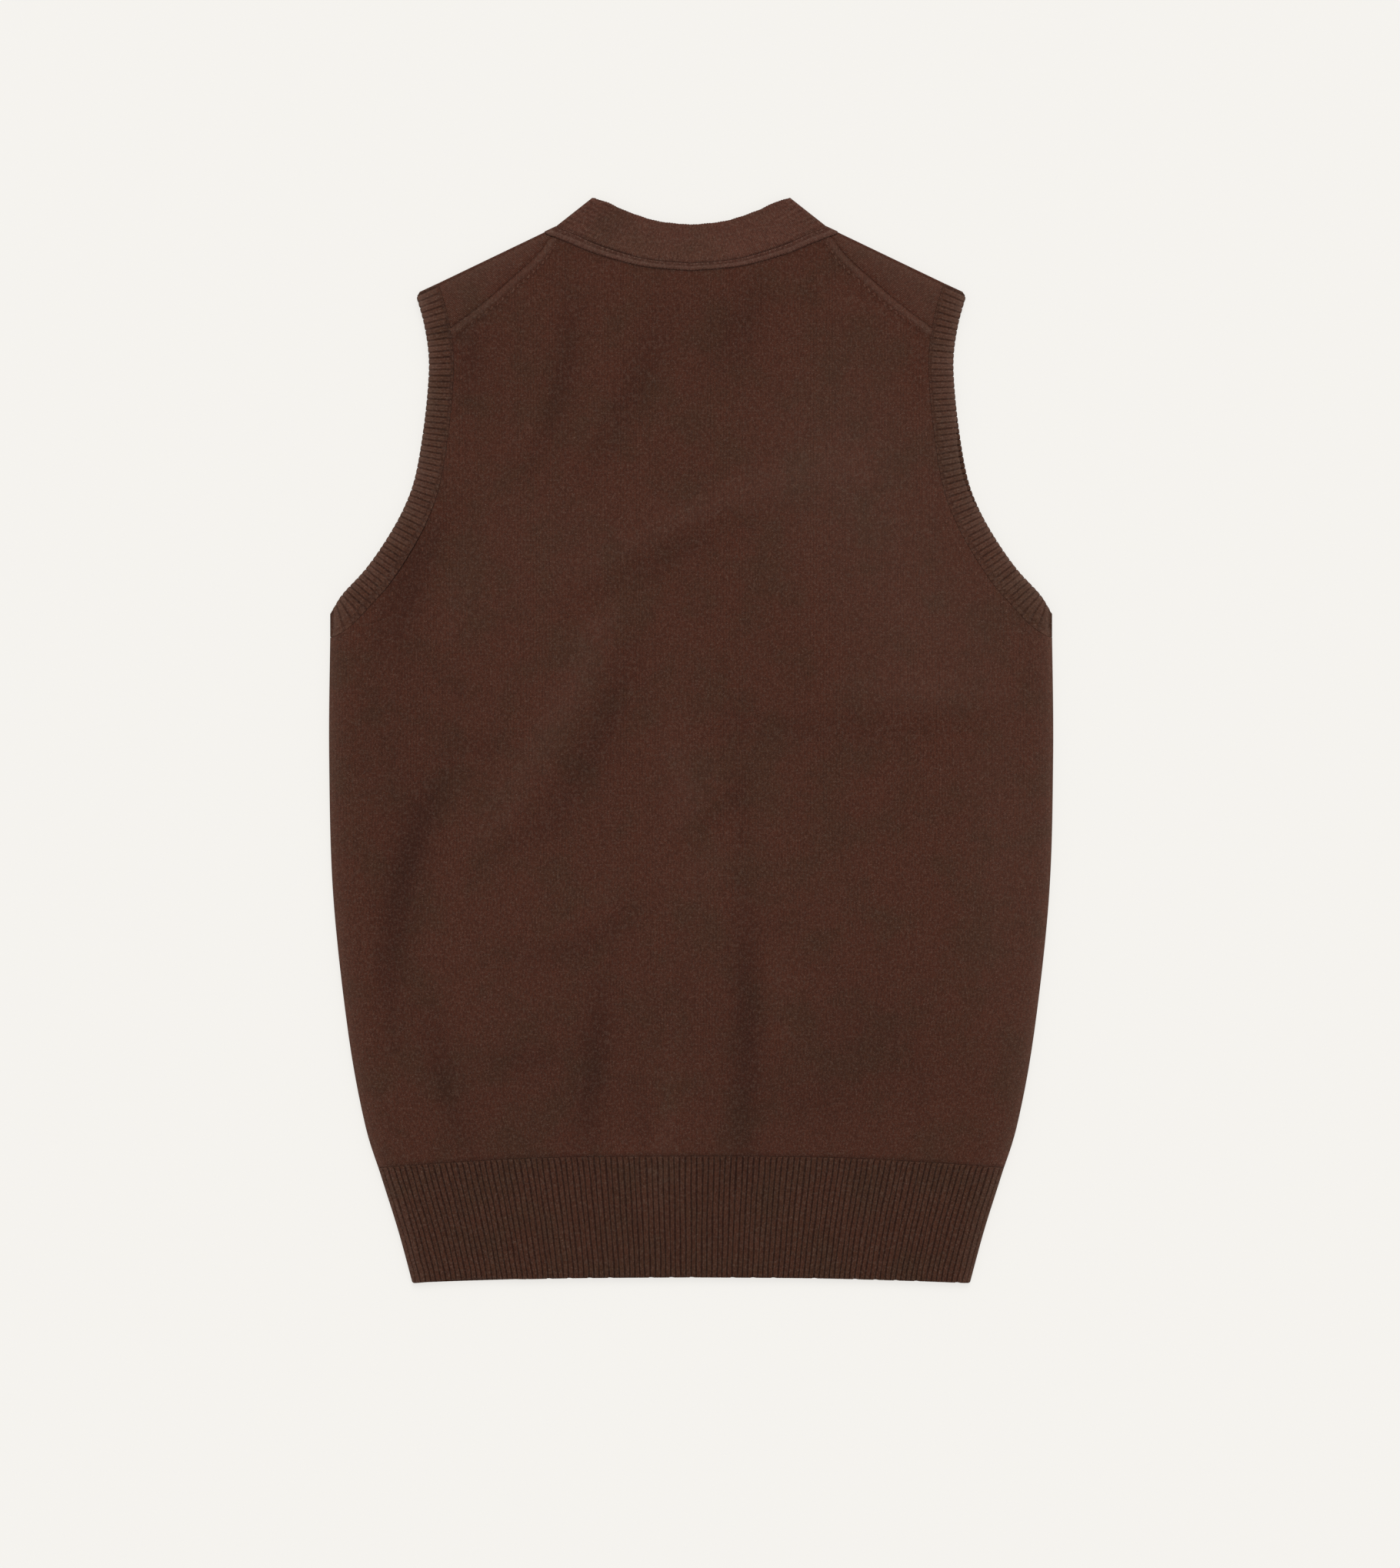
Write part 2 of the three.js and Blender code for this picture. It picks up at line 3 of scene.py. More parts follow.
import bpy
import numpy as np
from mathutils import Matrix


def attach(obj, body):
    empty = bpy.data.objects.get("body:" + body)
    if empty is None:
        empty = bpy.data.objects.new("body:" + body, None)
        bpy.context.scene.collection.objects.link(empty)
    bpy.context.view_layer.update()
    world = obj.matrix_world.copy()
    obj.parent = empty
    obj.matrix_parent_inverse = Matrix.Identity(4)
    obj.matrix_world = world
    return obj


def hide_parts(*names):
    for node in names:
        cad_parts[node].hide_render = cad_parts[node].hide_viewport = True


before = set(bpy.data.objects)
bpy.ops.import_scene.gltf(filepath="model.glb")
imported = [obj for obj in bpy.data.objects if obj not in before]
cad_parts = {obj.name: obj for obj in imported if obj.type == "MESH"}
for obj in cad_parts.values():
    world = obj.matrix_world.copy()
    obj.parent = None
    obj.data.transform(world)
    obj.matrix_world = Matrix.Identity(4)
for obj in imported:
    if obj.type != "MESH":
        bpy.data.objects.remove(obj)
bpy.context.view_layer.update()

# Back hem rib: a deep one-by-one rib of fine brown lambswool, knitted first and drawing the body in.
# It lies over the front's rib and meets it at the side seams. Sizes are in millimetres: x across the
# vest, y from the hem to the neck, z up from the surface that it lies on.
MM = 0.001
CLOTH = 2
LAYER_GAP = 0.6
SEAM = 0.3
FOLD_IN = LAYER_GAP / 2
FOLD_OUT = FOLD_IN + CLOTH
FOLD_AXIS_Z = CLOTH + FOLD_IN
BACK_LEVEL = CLOTH + LAYER_GAP
FREE_EDGE_BULGE = 0.7
SEWN_EDGE_BULGE = 0.15
SEWN_EDGE_LEVEL = 0.82

WALE = 2.09
COURSE = 1.45
HEM_RIBS = 108
HEM_COURSES = 54
HEM_RIB_RISE = 0.5
STITCH_DIP = 0.14
STITCH_LEAN = 0.9
ARCH_LENGTH = 3
HEM_PEEK_FROM = 109
HEM_PEEK_TO = 181
HEM_PEEK = 1.2
RIB_SEED = 11
RIB_WANDER = {"size": (0.16, 0.1), "length": (11, 4.3)}
RIB_DRIFT = 0.38
STITCH_UNEVEN = 0.035

MIDDLE_LIFT = 2
MOST_LIFT = 3.8
FLAT_SIDE = 4
SIDE_SLOPE = 26
TOP_SLOPE = 34
HEM_SLOPE = 60
LIFT_TOP = 322
SHOULDER_SLOPE = 0.42
NECK_POINT = 62.3
CREASE_SHADE = 0.26
CREASE_STEPS = 61
CREASE_END = 0.12
RIM_LIGHT = 1.6
RIM_WIDTH = 5
FLAP_RIM_LIGHT = 0.96
FLAP_RIM_FADE = 8
FLAP_EDGE = {"x": 95, "y": 330, "slope": 0.48}


def table(names, rows):
    """The named columns of a table, as arrays."""
    return dict(zip(names.split(), np.array(rows, float).T))


SIDE = table("y half", [
    (-352.5, 181.5),
    (-319, 190.6),
    (-284, 201.6),
    (-249, 212.4),
    (-189, 223.3),
    (-99, 233),
    (-9, 235.5),
    (66.6, 234.8),
])
HEM = table("half low high", [
    (0, -348.8, -270.3),
    (90, -349.4, -271.2),
    (160, -351, -274.5),
    (206, -352.5, -278),
])
ARMHOLE = table("x y width heading", [
    (232.5, 84.3, 17.5, 270),
    (226, 94.4, 18, 226),
    (211, 110.8, 17.8, 218),
    (197, 130.8, 17.2, 211),
    (186, 150.8, 16.7, 204),
    (178.8, 170.8, 16.2, 196),
    (173.5, 200.8, 15.8, 187),
    (170.3, 230.8, 15.5, 182),
    (170, 250.8, 15.5, 175),
    (173, 270.8, 15.5, 165),
    (177.8, 288.2, 15.6, 155),
])
# Soft creases of the back: three points along each, its half width, and its rise or fall. The first
# are the largest, and the others are shallow ones between them.
CREASES = [
    (-163, 150, -180, 115, -196, 62, 14, -1.9),
    (-148, 124, -146, 92, -162, 62, 12, 0.7),
    (-158, -24, -196, -70, -197, -196, 12, -2.5),
    (-170, -172, -166, -215, -146, -268, 10, -1.5),
    (-48, 88, -80, 20, -136, -64, 13, 1.4),
    (-38, 68, -52, 2, -95, -60, 12, -1.5),
    (112, 180, 30, 168, -62, 112, 12, 1.2),
    (36, 146, -14, 121, -80, 84, 11, -1.2),
    (96, 34, 150, 30, 196, 26, 12, 0.9),
    (20, 8, 112, 0, 205, 14, 12, -0.9),
    (34, -100, 41, -190, 30, -284, 10, -1.9),
    (52, -134, 61, -170, 57, -206, 13, 0.8),
    (34, -24, 24, -48, -8, -72, 9, -1.4),
    (-122, -140, -68, -144, -32, -106, 11, -1.0),
    (-58, -158, -62, -210, -70, -268, 9, -1.9),
    (-14, -200, -17, -250, -22, -318, 10, 1.0),
    (-80, 298, -73, 235, -106, 172, 9, -1.5),
    (-17, 278, -30, 235, -69, 170, 12, -1.3),
    (42, 302, 38, 270, 19, 238, 11, -0.9),
    (-178, 60, -152, 30, -138, 24, 7, -0.6),
    (-92, -56, -114, -62, -142, -88, 8, -0.8),
    (31, -34, 34, -62, 31, -96, 6, -1.1),
    (44, -130, 58, -121, 74, -116, 7, -0.5),
    (-30, -226, -27, -248, -31, -274, 5, -0.8),
    (78, 312, 80, 296, 73, 282, 6, -0.7),
    (148, 264, 146, 240, 146, 213, 8, -0.7),
    (-142, 264, -143, 238, -142, 213, 7, -0.6),
    (-114, -2, -140, -12, -162, 2, 8, -0.8),
    (58, -240, 80, -235, 100, -241, 12, -0.6),
    (150, -214, 153, -234, 149, -254, 6, -0.5),
    (-132, -208, -108, -213, -82, -204, 9, -0.9),
    (34, 22, 23, 2, 29, -19, 9, -0.6),
    (-15, 18, -15, -14, 2, -46, 10, 0.7),
    (-48, -92, -60, -122, -104, -130, 9, 0.6),
    (156, -232, 158, -254, 153, -270, 8, 0.5),
    (-98, 218, -104, 203, -114, 188, 7, 0.5),
    (-53, 228, -62, 206, -74, 188, 7, 0.6),
    (-62, -268, -40, -273, -20, -266, 6, 0.4),
    (62, 214, 108, 168, 172, 92, 40, 0.5),
]
# Fine upright ripples over the hem rib: place across, lower and upper end, and fall.
RIPPLES = [
    (88, -226, -190, -0.3),
    (99, -240, -172, -0.4),
    (110, -232, -164, -0.5),
    (121, -244, -158, -0.4),
    (131, -228, -170, -0.5),
    (143, -238, -176, -0.4),
    (-38, -262, -218, -0.4),
    (-22, -258, -206, -0.3),
]
CREASES += [(x, y0, x + 1, (y0 + y1) / 2, x, y1, 3.5, fall) for x, y0, y1, fall in RIPPLES]
# Broad patches of painted light and painted shade: their middles, half sizes and shares.
PAINTED_LIGHT_PATCHES = table("x y half_x half_y share", [
    (112, 170, 66, 95, 0.32),
    (160, 70, 50, 50, 0.3),
    (205, -80, 26, 150, 0.3),
    (-192, 0, 28, 75, -0.2),
    (-90, 120, 60, 60, 0.14),
    (-196, 140, 20, 30, -0.12),
    (8, -60, 30, 45, 0.2),
    (30, 262, 32, 34, -0.16),
    (-150, 252, 32, 30, -0.2),
    (118, -205, 75, 55, -0.12),
    (-110, -235, 60, 50, -0.12),
    (-30, -190, 70, 60, -0.1),
    (60, 60, 40, 40, -0.1),
    (-54, 336, 15, 13, -0.32),
    (-8, 322, 15, 10, -0.13),
    (50, -210, 70, 80, -0.09),
    (-80, -30, 45, 45, -0.08),
])
# One rib: places across it and its height there, from one valley over two stitch legs to the next.
RIB = table("place height", [
    (0, -1),
    (0.07, -0.6),
    (0.15, 0.5),
    (0.32, 1),
    (0.5, 0.76),
    (0.68, 1),
    (0.85, 0.5),
    (0.93, -0.6),
])


def along(columns, t):
    """Every column of a table on a smooth curve through its rows, at t from 0 to 1."""
    count = len(next(iter(columns.values())))
    place = np.clip(t, 0, 1) * (count - 1)
    first = np.minimum(np.floor(place).astype(int), count - 2)
    f = place - first

    def smooth(values):
        before, start, end, after = (
            values[np.clip(first + k, 0, count - 1)] for k in (-1, 0, 1, 2)
        )
        start_slope = (end - before) / 2
        end_slope = (after - start) / 2
        cubic = 2 * start - 2 * end + start_slope + end_slope
        square = 3 * end - 3 * start - 2 * start_slope - end_slope
        return ((cubic * f + square) * f + start_slope) * f + start

    return {name: smooth(values) for name, values in columns.items()}


def where(columns, name, value):
    """Every column of a table where its rising column reaches a value."""
    t = np.linspace(0, 1, 3001)
    return along(columns, np.interp(value, along(columns, t)[name], t))


def smoothstep(value, low, high):
    t = np.clip((value - low) / (high - low), 0, 1)
    return t * t * (3 - 2 * t)


def outline_half(y):
    """Half of the vest's width at a height on it, up to the shoulder tip."""
    below = where(SIDE, "y", y)["half"]
    above = where(ARMHOLE, "y", y)["x"]
    return np.where(y <= SIDE["y"][-1], below, above)


def crease_height(x, y):
    """The sum of the creases' rises and falls at places in plan."""
    height = np.zeros(x.shape)
    for x0, y0, x1, y1, x2, y2, spread, rise in CREASES:
        t = np.linspace(0, 1, CREASE_STEPS)
        path_x = (1 - t) ** 2 * x0 + 2 * t * (1 - t) * x1 + t ** 2 * x2
        path_y = (1 - t) ** 2 * y0 + 2 * t * (1 - t) * y1 + t ** 2 * y2
        reach = 3 * spread
        near = (x > path_x.min() - reach) & (x < path_x.max() + reach)
        near &= (y > path_y.min() - reach) & (y < path_y.max() + reach)
        nearest_square = np.full(near.sum(), np.inf)
        share = np.zeros(near.sum())
        for step in range(len(t)):
            square = (x[near] - path_x[step]) ** 2 + (y[near] - path_y[step]) ** 2
            share = np.where(square < nearest_square, t[step], share)
            nearest_square = np.minimum(square, nearest_square)
        fade = np.sin(math.pi * (CREASE_END + (1 - 2 * CREASE_END) * share))
        height[near] += rise * fade * np.exp(-nearest_square / spread ** 2)
    return height


def painted_light(x, y):
    """How much painted light lies at places in plan: broad patches of painted light and shade, and a
    painted highlight along the folded edges.
    """
    side_room = np.maximum(0, outline_half(y) - np.abs(x))
    past_neck = np.maximum(0, np.abs(x) - FLAP_EDGE["x"])
    shoulder_room = np.maximum(0, FLAP_EDGE["y"] - FLAP_EDGE["slope"] * past_neck - y)
    on_flap = smoothstep(np.abs(x), FLAP_EDGE["x"] - FLAP_RIM_FADE, FLAP_EDGE["x"])
    light = RIM_LIGHT * np.exp(-side_room / RIM_WIDTH)
    light = light + FLAP_RIM_LIGHT * np.exp(-shoulder_room / RIM_WIDTH) * on_flap
    for middle_x, middle_y, half_x, half_y, share in zip(*PAINTED_LIGHT_PATCHES.values()):
        square = ((x - middle_x) / half_x) ** 2 + ((y - middle_y) / half_y) ** 2
        light = light + share * np.exp(-square)
    return light


def edge_room(x, y):
    """How freely the back layer lies off the front layer: 0 at its edges, and 1 in its middle."""
    side_room = outline_half(y) - np.abs(x)
    shoulder_fall = np.maximum(0, np.abs(x) - NECK_POINT) * SHOULDER_SLOPE
    room = smoothstep(side_room, FLAT_SIDE, FLAT_SIDE + SIDE_SLOPE)
    room = room * smoothstep(LIFT_TOP - shoulder_fall - y, 0, TOP_SLOPE)
    return room * smoothstep(y - HEM["low"][-1], 0, HEM_SLOPE)


def points(*values):
    """Numbers that go together at each point of a grid, as its last axis."""
    return np.stack(np.broadcast_arrays(*values), axis=-1).astype(float)


def back_cloth(x, y, rise, wale, course, hollow=0):
    """Cloth of the back layer: its outer and inner points, and its place in the knitting.

    That place is its wale, its course, and its painted shade: painted shade above 0, and painted light
    below 0.
    """
    x, y = np.broadcast_arrays(x, y)
    room, crease = edge_room(x, y), crease_height(x, y)
    level = BACK_LEVEL + room * np.clip(MIDDLE_LIFT + crease, 0, MOST_LIFT)
    # Painted shade in the creases' troughs and painted light on their ridges, with the painted light
    # and shade patches and the painted highlight along the folded edges.
    hollow = hollow - CREASE_SHADE * room * crease - painted_light(x, y)
    return points(x, y, level + CLOTH + rise, x, y, level, wale, course, hollow)


def front_cloth(x, y, rise, wale, course, hollow=0):
    """Cloth of the front layer, which lies on its outer face. rise lifts both of its faces."""
    return points(x, y, rise, x, y, CLOTH + rise, wale, course, hollow)


def folded_cloth(axis_x, axis_y, out_x, out_y, turn, wale, course, shift=0, hollow=0):
    """Cloth that turns round a fold: turn is 0 degrees on the back layer and 180 on the front."""
    sine, cosine = np.sin(np.radians(turn)), np.cos(np.radians(turn))

    def at(radius):
        x = axis_x + out_x * radius * sine
        y = axis_y + out_y * radius * sine
        return x, y, FOLD_AXIS_Z + shift + radius * cosine

    return points(*at(FOLD_OUT), *at(FOLD_IN), wale, course, hollow)


def side_edge(half, y, sign, layer, wale, course):
    """The rounded side of a panel, from its flat cloth to the side seam."""
    turn = np.linspace(0, 90, 6)[1:]
    shift = SEAM / 2 * turn / 90
    if layer == "front":
        turn, shift = 180 - turn, -shift
    arc = np.radians(np.abs(turn if layer == "back" else 180 - turn)) * FOLD_OUT / WALE
    axis = sign * (half - FOLD_OUT)
    hollow = -painted_light(axis, y) * (layer == "back")
    return folded_cloth(axis, y, sign, 0, turn, wale + sign * arc, course, shift, hollow)


def nearest(count, step):
    """For each of count places, the nearest of every step-th place."""
    places = np.minimum(np.round(np.arange(count) / step).astype(int) * step, count - 1)
    places[-1] = count - 1
    return places


def cloth_piece(name, sheets, coarse=(1, 1), free=None):
    """Closes sheets of cloth into one piece, with a rounded rim along its open edges.

    A sheet is a grid of cloth seen from outside, columns to the right and rows upwards. The inner
    face keeps only every so many rows and columns, as coarse gives. free names the row that is a
    free edge; the other open edges are sewn.
    """
    faces, quads, free_points = [[], []], [], []
    count = 0
    for sheet in sheets:
        rows, columns = sheet.shape[:2]
        near = [
            step if isinstance(step, np.ndarray) else nearest(size, step)
            for size, step in zip((rows, columns), coarse)
        ]
        number = count + np.arange(rows * columns).reshape(rows, columns)
        count += rows * columns
        faces[0].append(sheet[..., [0, 1, 2, 6, 7, 8]].reshape(-1, 6))
        faces[1].append(sheet[np.ix_(*near)][..., [3, 4, 5, 6, 7, 8]].reshape(-1, 6))
        corners = (number[:-1, :-1], number[:-1, 1:], number[1:, 1:], number[1:, :-1])
        quads.append(np.stack(corners, axis=-1).reshape(-1, 4))
        if free:
            free_points.append(number[0 if free == "first" else -1])
    cloth = np.concatenate(faces[0] + faces[1])
    quads = np.concatenate(quads)

    whole = np.round(cloth[:, :3] * 1000).astype(np.int64) + 500_000
    key = (whole[:, 0] * 1_000_000 + whole[:, 1]) * 1_000_000 + whole[:, 2]
    _, first, same = np.unique(key, return_index=True, return_inverse=True)
    places = cloth[first, :3]

    edges = np.concatenate([quads[:, [k, (k + 1) % 4]] for k in range(4)])
    ends = same[edges]
    edges, ends = edges[ends[:, 0] != ends[:, 1]], ends[ends[:, 0] != ends[:, 1]]
    forward = ends[:, 0] * len(places) + ends[:, 1]
    backward = ends[:, 1] * len(places) + ends[:, 0]
    is_open = ~np.isin(forward, backward)
    edges, ends = edges[is_open], ends[is_open]
    run = places[ends[:, 1]] - places[ends[:, 0]]
    through = cloth[edges[:, 0], :3] - cloth[edges[:, 0] + count, :3]
    outwards = np.zeros_like(places)
    for end in (0, 1):
        np.add.at(outwards, ends[:, end], np.cross(run, through))
    outwards /= np.maximum(np.linalg.norm(outwards, axis=1, keepdims=True), 1e-9)
    rim, rim_number = np.unique(ends, return_inverse=True)
    rim_number = rim_number.reshape(ends.shape)
    inner_of = np.zeros(len(places), int)
    inner_of[ends] = edges + count
    bulge = np.full((len(places), 1), SEWN_EDGE_BULGE)
    level = np.full((len(places), 1), SEWN_EDGE_LEVEL)
    if free:
        free_rim = same[np.concatenate(free_points)]
        bulge[free_rim] = FREE_EDGE_BULGE
        level[free_rim] = 0.5
    inner_rim = cloth[inner_of[rim], :3]
    middle = inner_rim + (places[rim] - inner_rim) * level[rim] + outwards[rim] * bulge[rim]
    knit = np.concatenate((cloth[:, 3:], cloth[inner_of[rim], 3:]))
    same = np.concatenate((same, len(places) + np.arange(len(rim))))
    places = np.concatenate((places, middle))

    half_way = 2 * count + rim_number
    upper = np.stack((edges[:, 1], edges[:, 0], half_way[:, 0], half_way[:, 1]), axis=-1)
    lower = np.stack((half_way[:, 1], half_way[:, 0], *(edges + count).T), axis=-1)
    quads = np.concatenate((quads, quads[:, ::-1] + count, upper, lower))
    triangles = np.concatenate((quads[:, [0, 1, 2]], quads[:, [0, 2, 3]]))
    corner = same[triangles]
    solid = (corner != np.roll(corner, 1, axis=1)).all(axis=1)
    return mesh_piece(name, places, corner[solid], knit[triangles[solid]])


def placed(name, data):
    """A new object of the scene."""
    thing = bpy.data.objects.new(name, data)
    bpy.context.collection.objects.link(thing)
    return thing


def mesh_piece(name, places, triangles, knit):
    """A new piece from points in millimetres, with each corner's place in the knitting and its painted
    shade.
    """
    mesh = bpy.data.meshes.new(name)
    mesh.from_pydata(places * MM, [], triangles)
    mesh.attributes.new("knit", "FLOAT_VECTOR", "CORNER").data.foreach_set("vector", knit.ravel())
    mesh.shade_smooth()
    mesh.set_sharp_from_angle(angle=math.radians(70))
    return placed(name, mesh)


def ribs_across(ribs):
    """Columns across ribs: their places counted in ribs, heights, leans and wale counts."""
    place = np.append((np.arange(ribs)[:, None] + RIB["place"]).ravel(), ribs)
    height = np.append(np.tile(RIB["height"], ribs), RIB["height"][0])
    lean = np.clip(np.abs(place % 1 - 0.5) / 0.43, 0, 1)
    wale = np.floor(place) + np.clip((place % 1 - 0.07) / 0.86, 0, 1)
    return place, height, lean, wale


# Painted shade in a rib's valleys, from its height.
def rib_valley_shade(height):
    return np.clip((0.2 - height) / 1.2, 0, 1)


def back_hem_rib():
    place, ridge, lean, wale = ribs_across(HEM_RIBS)
    u = place / HEM_RIBS * 2 - 1
    hem = where(HEM, "half", np.abs(u) * HEM["half"][-1])
    peek = (-u * SIDE["half"][0] - HEM_PEEK_FROM) / (HEM_PEEK_TO - HEM_PEEK_FROM)
    low = hem["low"] + HEM_PEEK * np.sin(math.pi * np.clip(peek, 0, 1))
    high = hem["high"] - SEAM / 2
    row = np.arange(2 * HEM_COURSES + 1)[:, None]
    room = np.minimum(row, 2 * HEM_COURSES - row) / 4
    course = row / 2 + STITCH_LEAN * lean * np.clip(room, 0, 1)
    y = low + (high - low) * course / HEM_COURSES
    side_y = low[-1] + (high[-1] - low[-1]) * row / (2 * HEM_COURSES)
    half = outline_half(side_y)

    random = np.random.default_rng(RIB_SEED)
    phase = random.uniform(0, 2 * math.pi, (2, HEM_RIBS + 1))[:, np.floor(place).astype(int)]
    waves = zip(RIB_WANDER["size"], RIB_WANDER["length"], phase)
    wander = sum(size * np.sin(y / length + start) for size, length, start in waves)
    drift = random.uniform(-RIB_DRIFT, RIB_DRIFT, HEM_RIBS + 1)
    drift = np.interp(place, np.arange(HEM_RIBS + 1), drift)
    x = u * (half - FOLD_OUT) + (wander + drift) * np.clip(room / 2, 0, 1)

    to_top = high - y
    arch = np.clip(1 - to_top / ARCH_LENGTH, 0, 1) ** 2 + (0.75 * lean) ** 2 * (to_top < ARCH_LENGTH)
    rounded = np.where(to_top < ARCH_LENGTH, np.sqrt(np.clip(1.2 - arch, 0, 1)), 1)
    fade = np.clip(to_top / 0.8, 0, 1)
    dip = STITCH_DIP * (row % 2 == 0) * (ridge > 0)
    uneven = random.normal(0, STITCH_UNEVEN, y.shape)
    rise = (ridge * HEM_RIB_RISE * np.where(ridge > 0, rounded, 1) - dip + uneven) * fade
    flat = back_cloth(x, y, rise, wale, course, rib_valley_shade(rise / HEM_RIB_RISE) * fade)
    edges = [
        side_edge(half, side_y, sign, "back", HEM_RIBS * (sign + 1) / 2, row / 2)
        for sign in (-1, 1)
    ]
    sheet = np.concatenate((edges[0][:, ::-1], flat, edges[1]), axis=1)
    return cloth_piece("back_hem_rib_knit", [sheet], coarse=(6, 16), free="first")


# The wool's finish: how its shader is worked out, and the yarn itself.
class Grain:
    """A value that changes over a wool's surface. Arithmetic on it adds the nodes that work it out."""

    def __init__(self, finish, socket):
        self.finish = finish
        self.socket = socket

    def maths(self, operation, *others):
        node = self.finish.add("ShaderNodeMath", {"operation": operation})
        for i, value in enumerate((self, *others)):
            self.finish.put(node.inputs[i], value)
        return Grain(self.finish, node.outputs[0])

    def __add__(self, other):
        return self.maths("ADD", other)

    def __sub__(self, other):
        return self.maths("SUBTRACT", other)

    def __rsub__(self, other):
        return self.maths("MULTIPLY", -1).maths("ADD", other)

    def __mul__(self, other):
        return self.maths("MULTIPLY", other)

    def __pow__(self, other):
        return self.maths("POWER", other)

    def __abs__(self):
        return self.maths("ABSOLUTE")

    def part(self):
        return self.maths("FRACT")

    def between(self, low, high):
        """0 below low, 1 above high, and smooth between them."""
        settings = {"interpolation_type": "SMOOTHSTEP"}
        values = {"Value": self, "From Min": low, "From Max": high}
        return Grain(self.finish, self.finish.add("ShaderNodeMapRange", settings, values).outputs[0])

    __radd__ = __add__
    __rmul__ = __mul__


class Finish:
    """A material and its nodes."""

    def __init__(self, name):
        self.material = bpy.data.materials.new(name)
        self.material.use_nodes = True
        self.nodes = self.material.node_tree.nodes
        self.shader = self.nodes["Principled BSDF"]

    def put(self, socket, value):
        if isinstance(value, Grain):
            self.material.node_tree.links.new(value.socket, socket)
        else:
            socket.default_value = value

    def add(self, kind, settings=(), values=()):
        """A node of a kind, with its settings made first and then its sockets' values or links."""
        node = self.nodes.new(kind)
        for name, value in dict(settings).items():
            setattr(node, name, value)
        for name, value in dict(values).items():
            self.put(node.inputs[name], value)
        return node

    def surface(self, values):
        """The material, with these values or links on its shader."""
        for name, value in values.items():
            self.put(self.shader.inputs[name], value)
        return self.material

    def noise(self, place, scale, detail=2):
        values = {"Vector": place, "Scale": scale, "Detail": detail, "Roughness": 0.6}
        return Grain(self, self.add("ShaderNodeTexNoise", {}, values).outputs["Fac"])

    def blend(self, share, first, second):
        node = self.add("ShaderNodeMix", {"data_type": "RGBA"})
        for number, value in ((0, share), (6, first), (7, second)):
            self.put(node.inputs[number], value)
        return Grain(self, node.outputs[2])


def linear(colour):
    """A colour's linear values, from its sRGB numbers up to 255."""
    values = np.array(colour) / 255
    return (*np.where(values <= 0.04045, values / 12.92, ((values + 0.055) / 1.055) ** 2.4), 1)


# The dark colour that dark specks, darker stitches and painted shade blend towards.
DARK_WOOL_AND_SHADE = linear((34, 16, 12))
PATCH_GRAIN = 30
FLECK_GRAIN = 620
STITCH_GRAIN = 900
SPECK_GRAIN = 1050
FIBRE_GRAIN = 1300
FUZZ_GRAIN = 2600


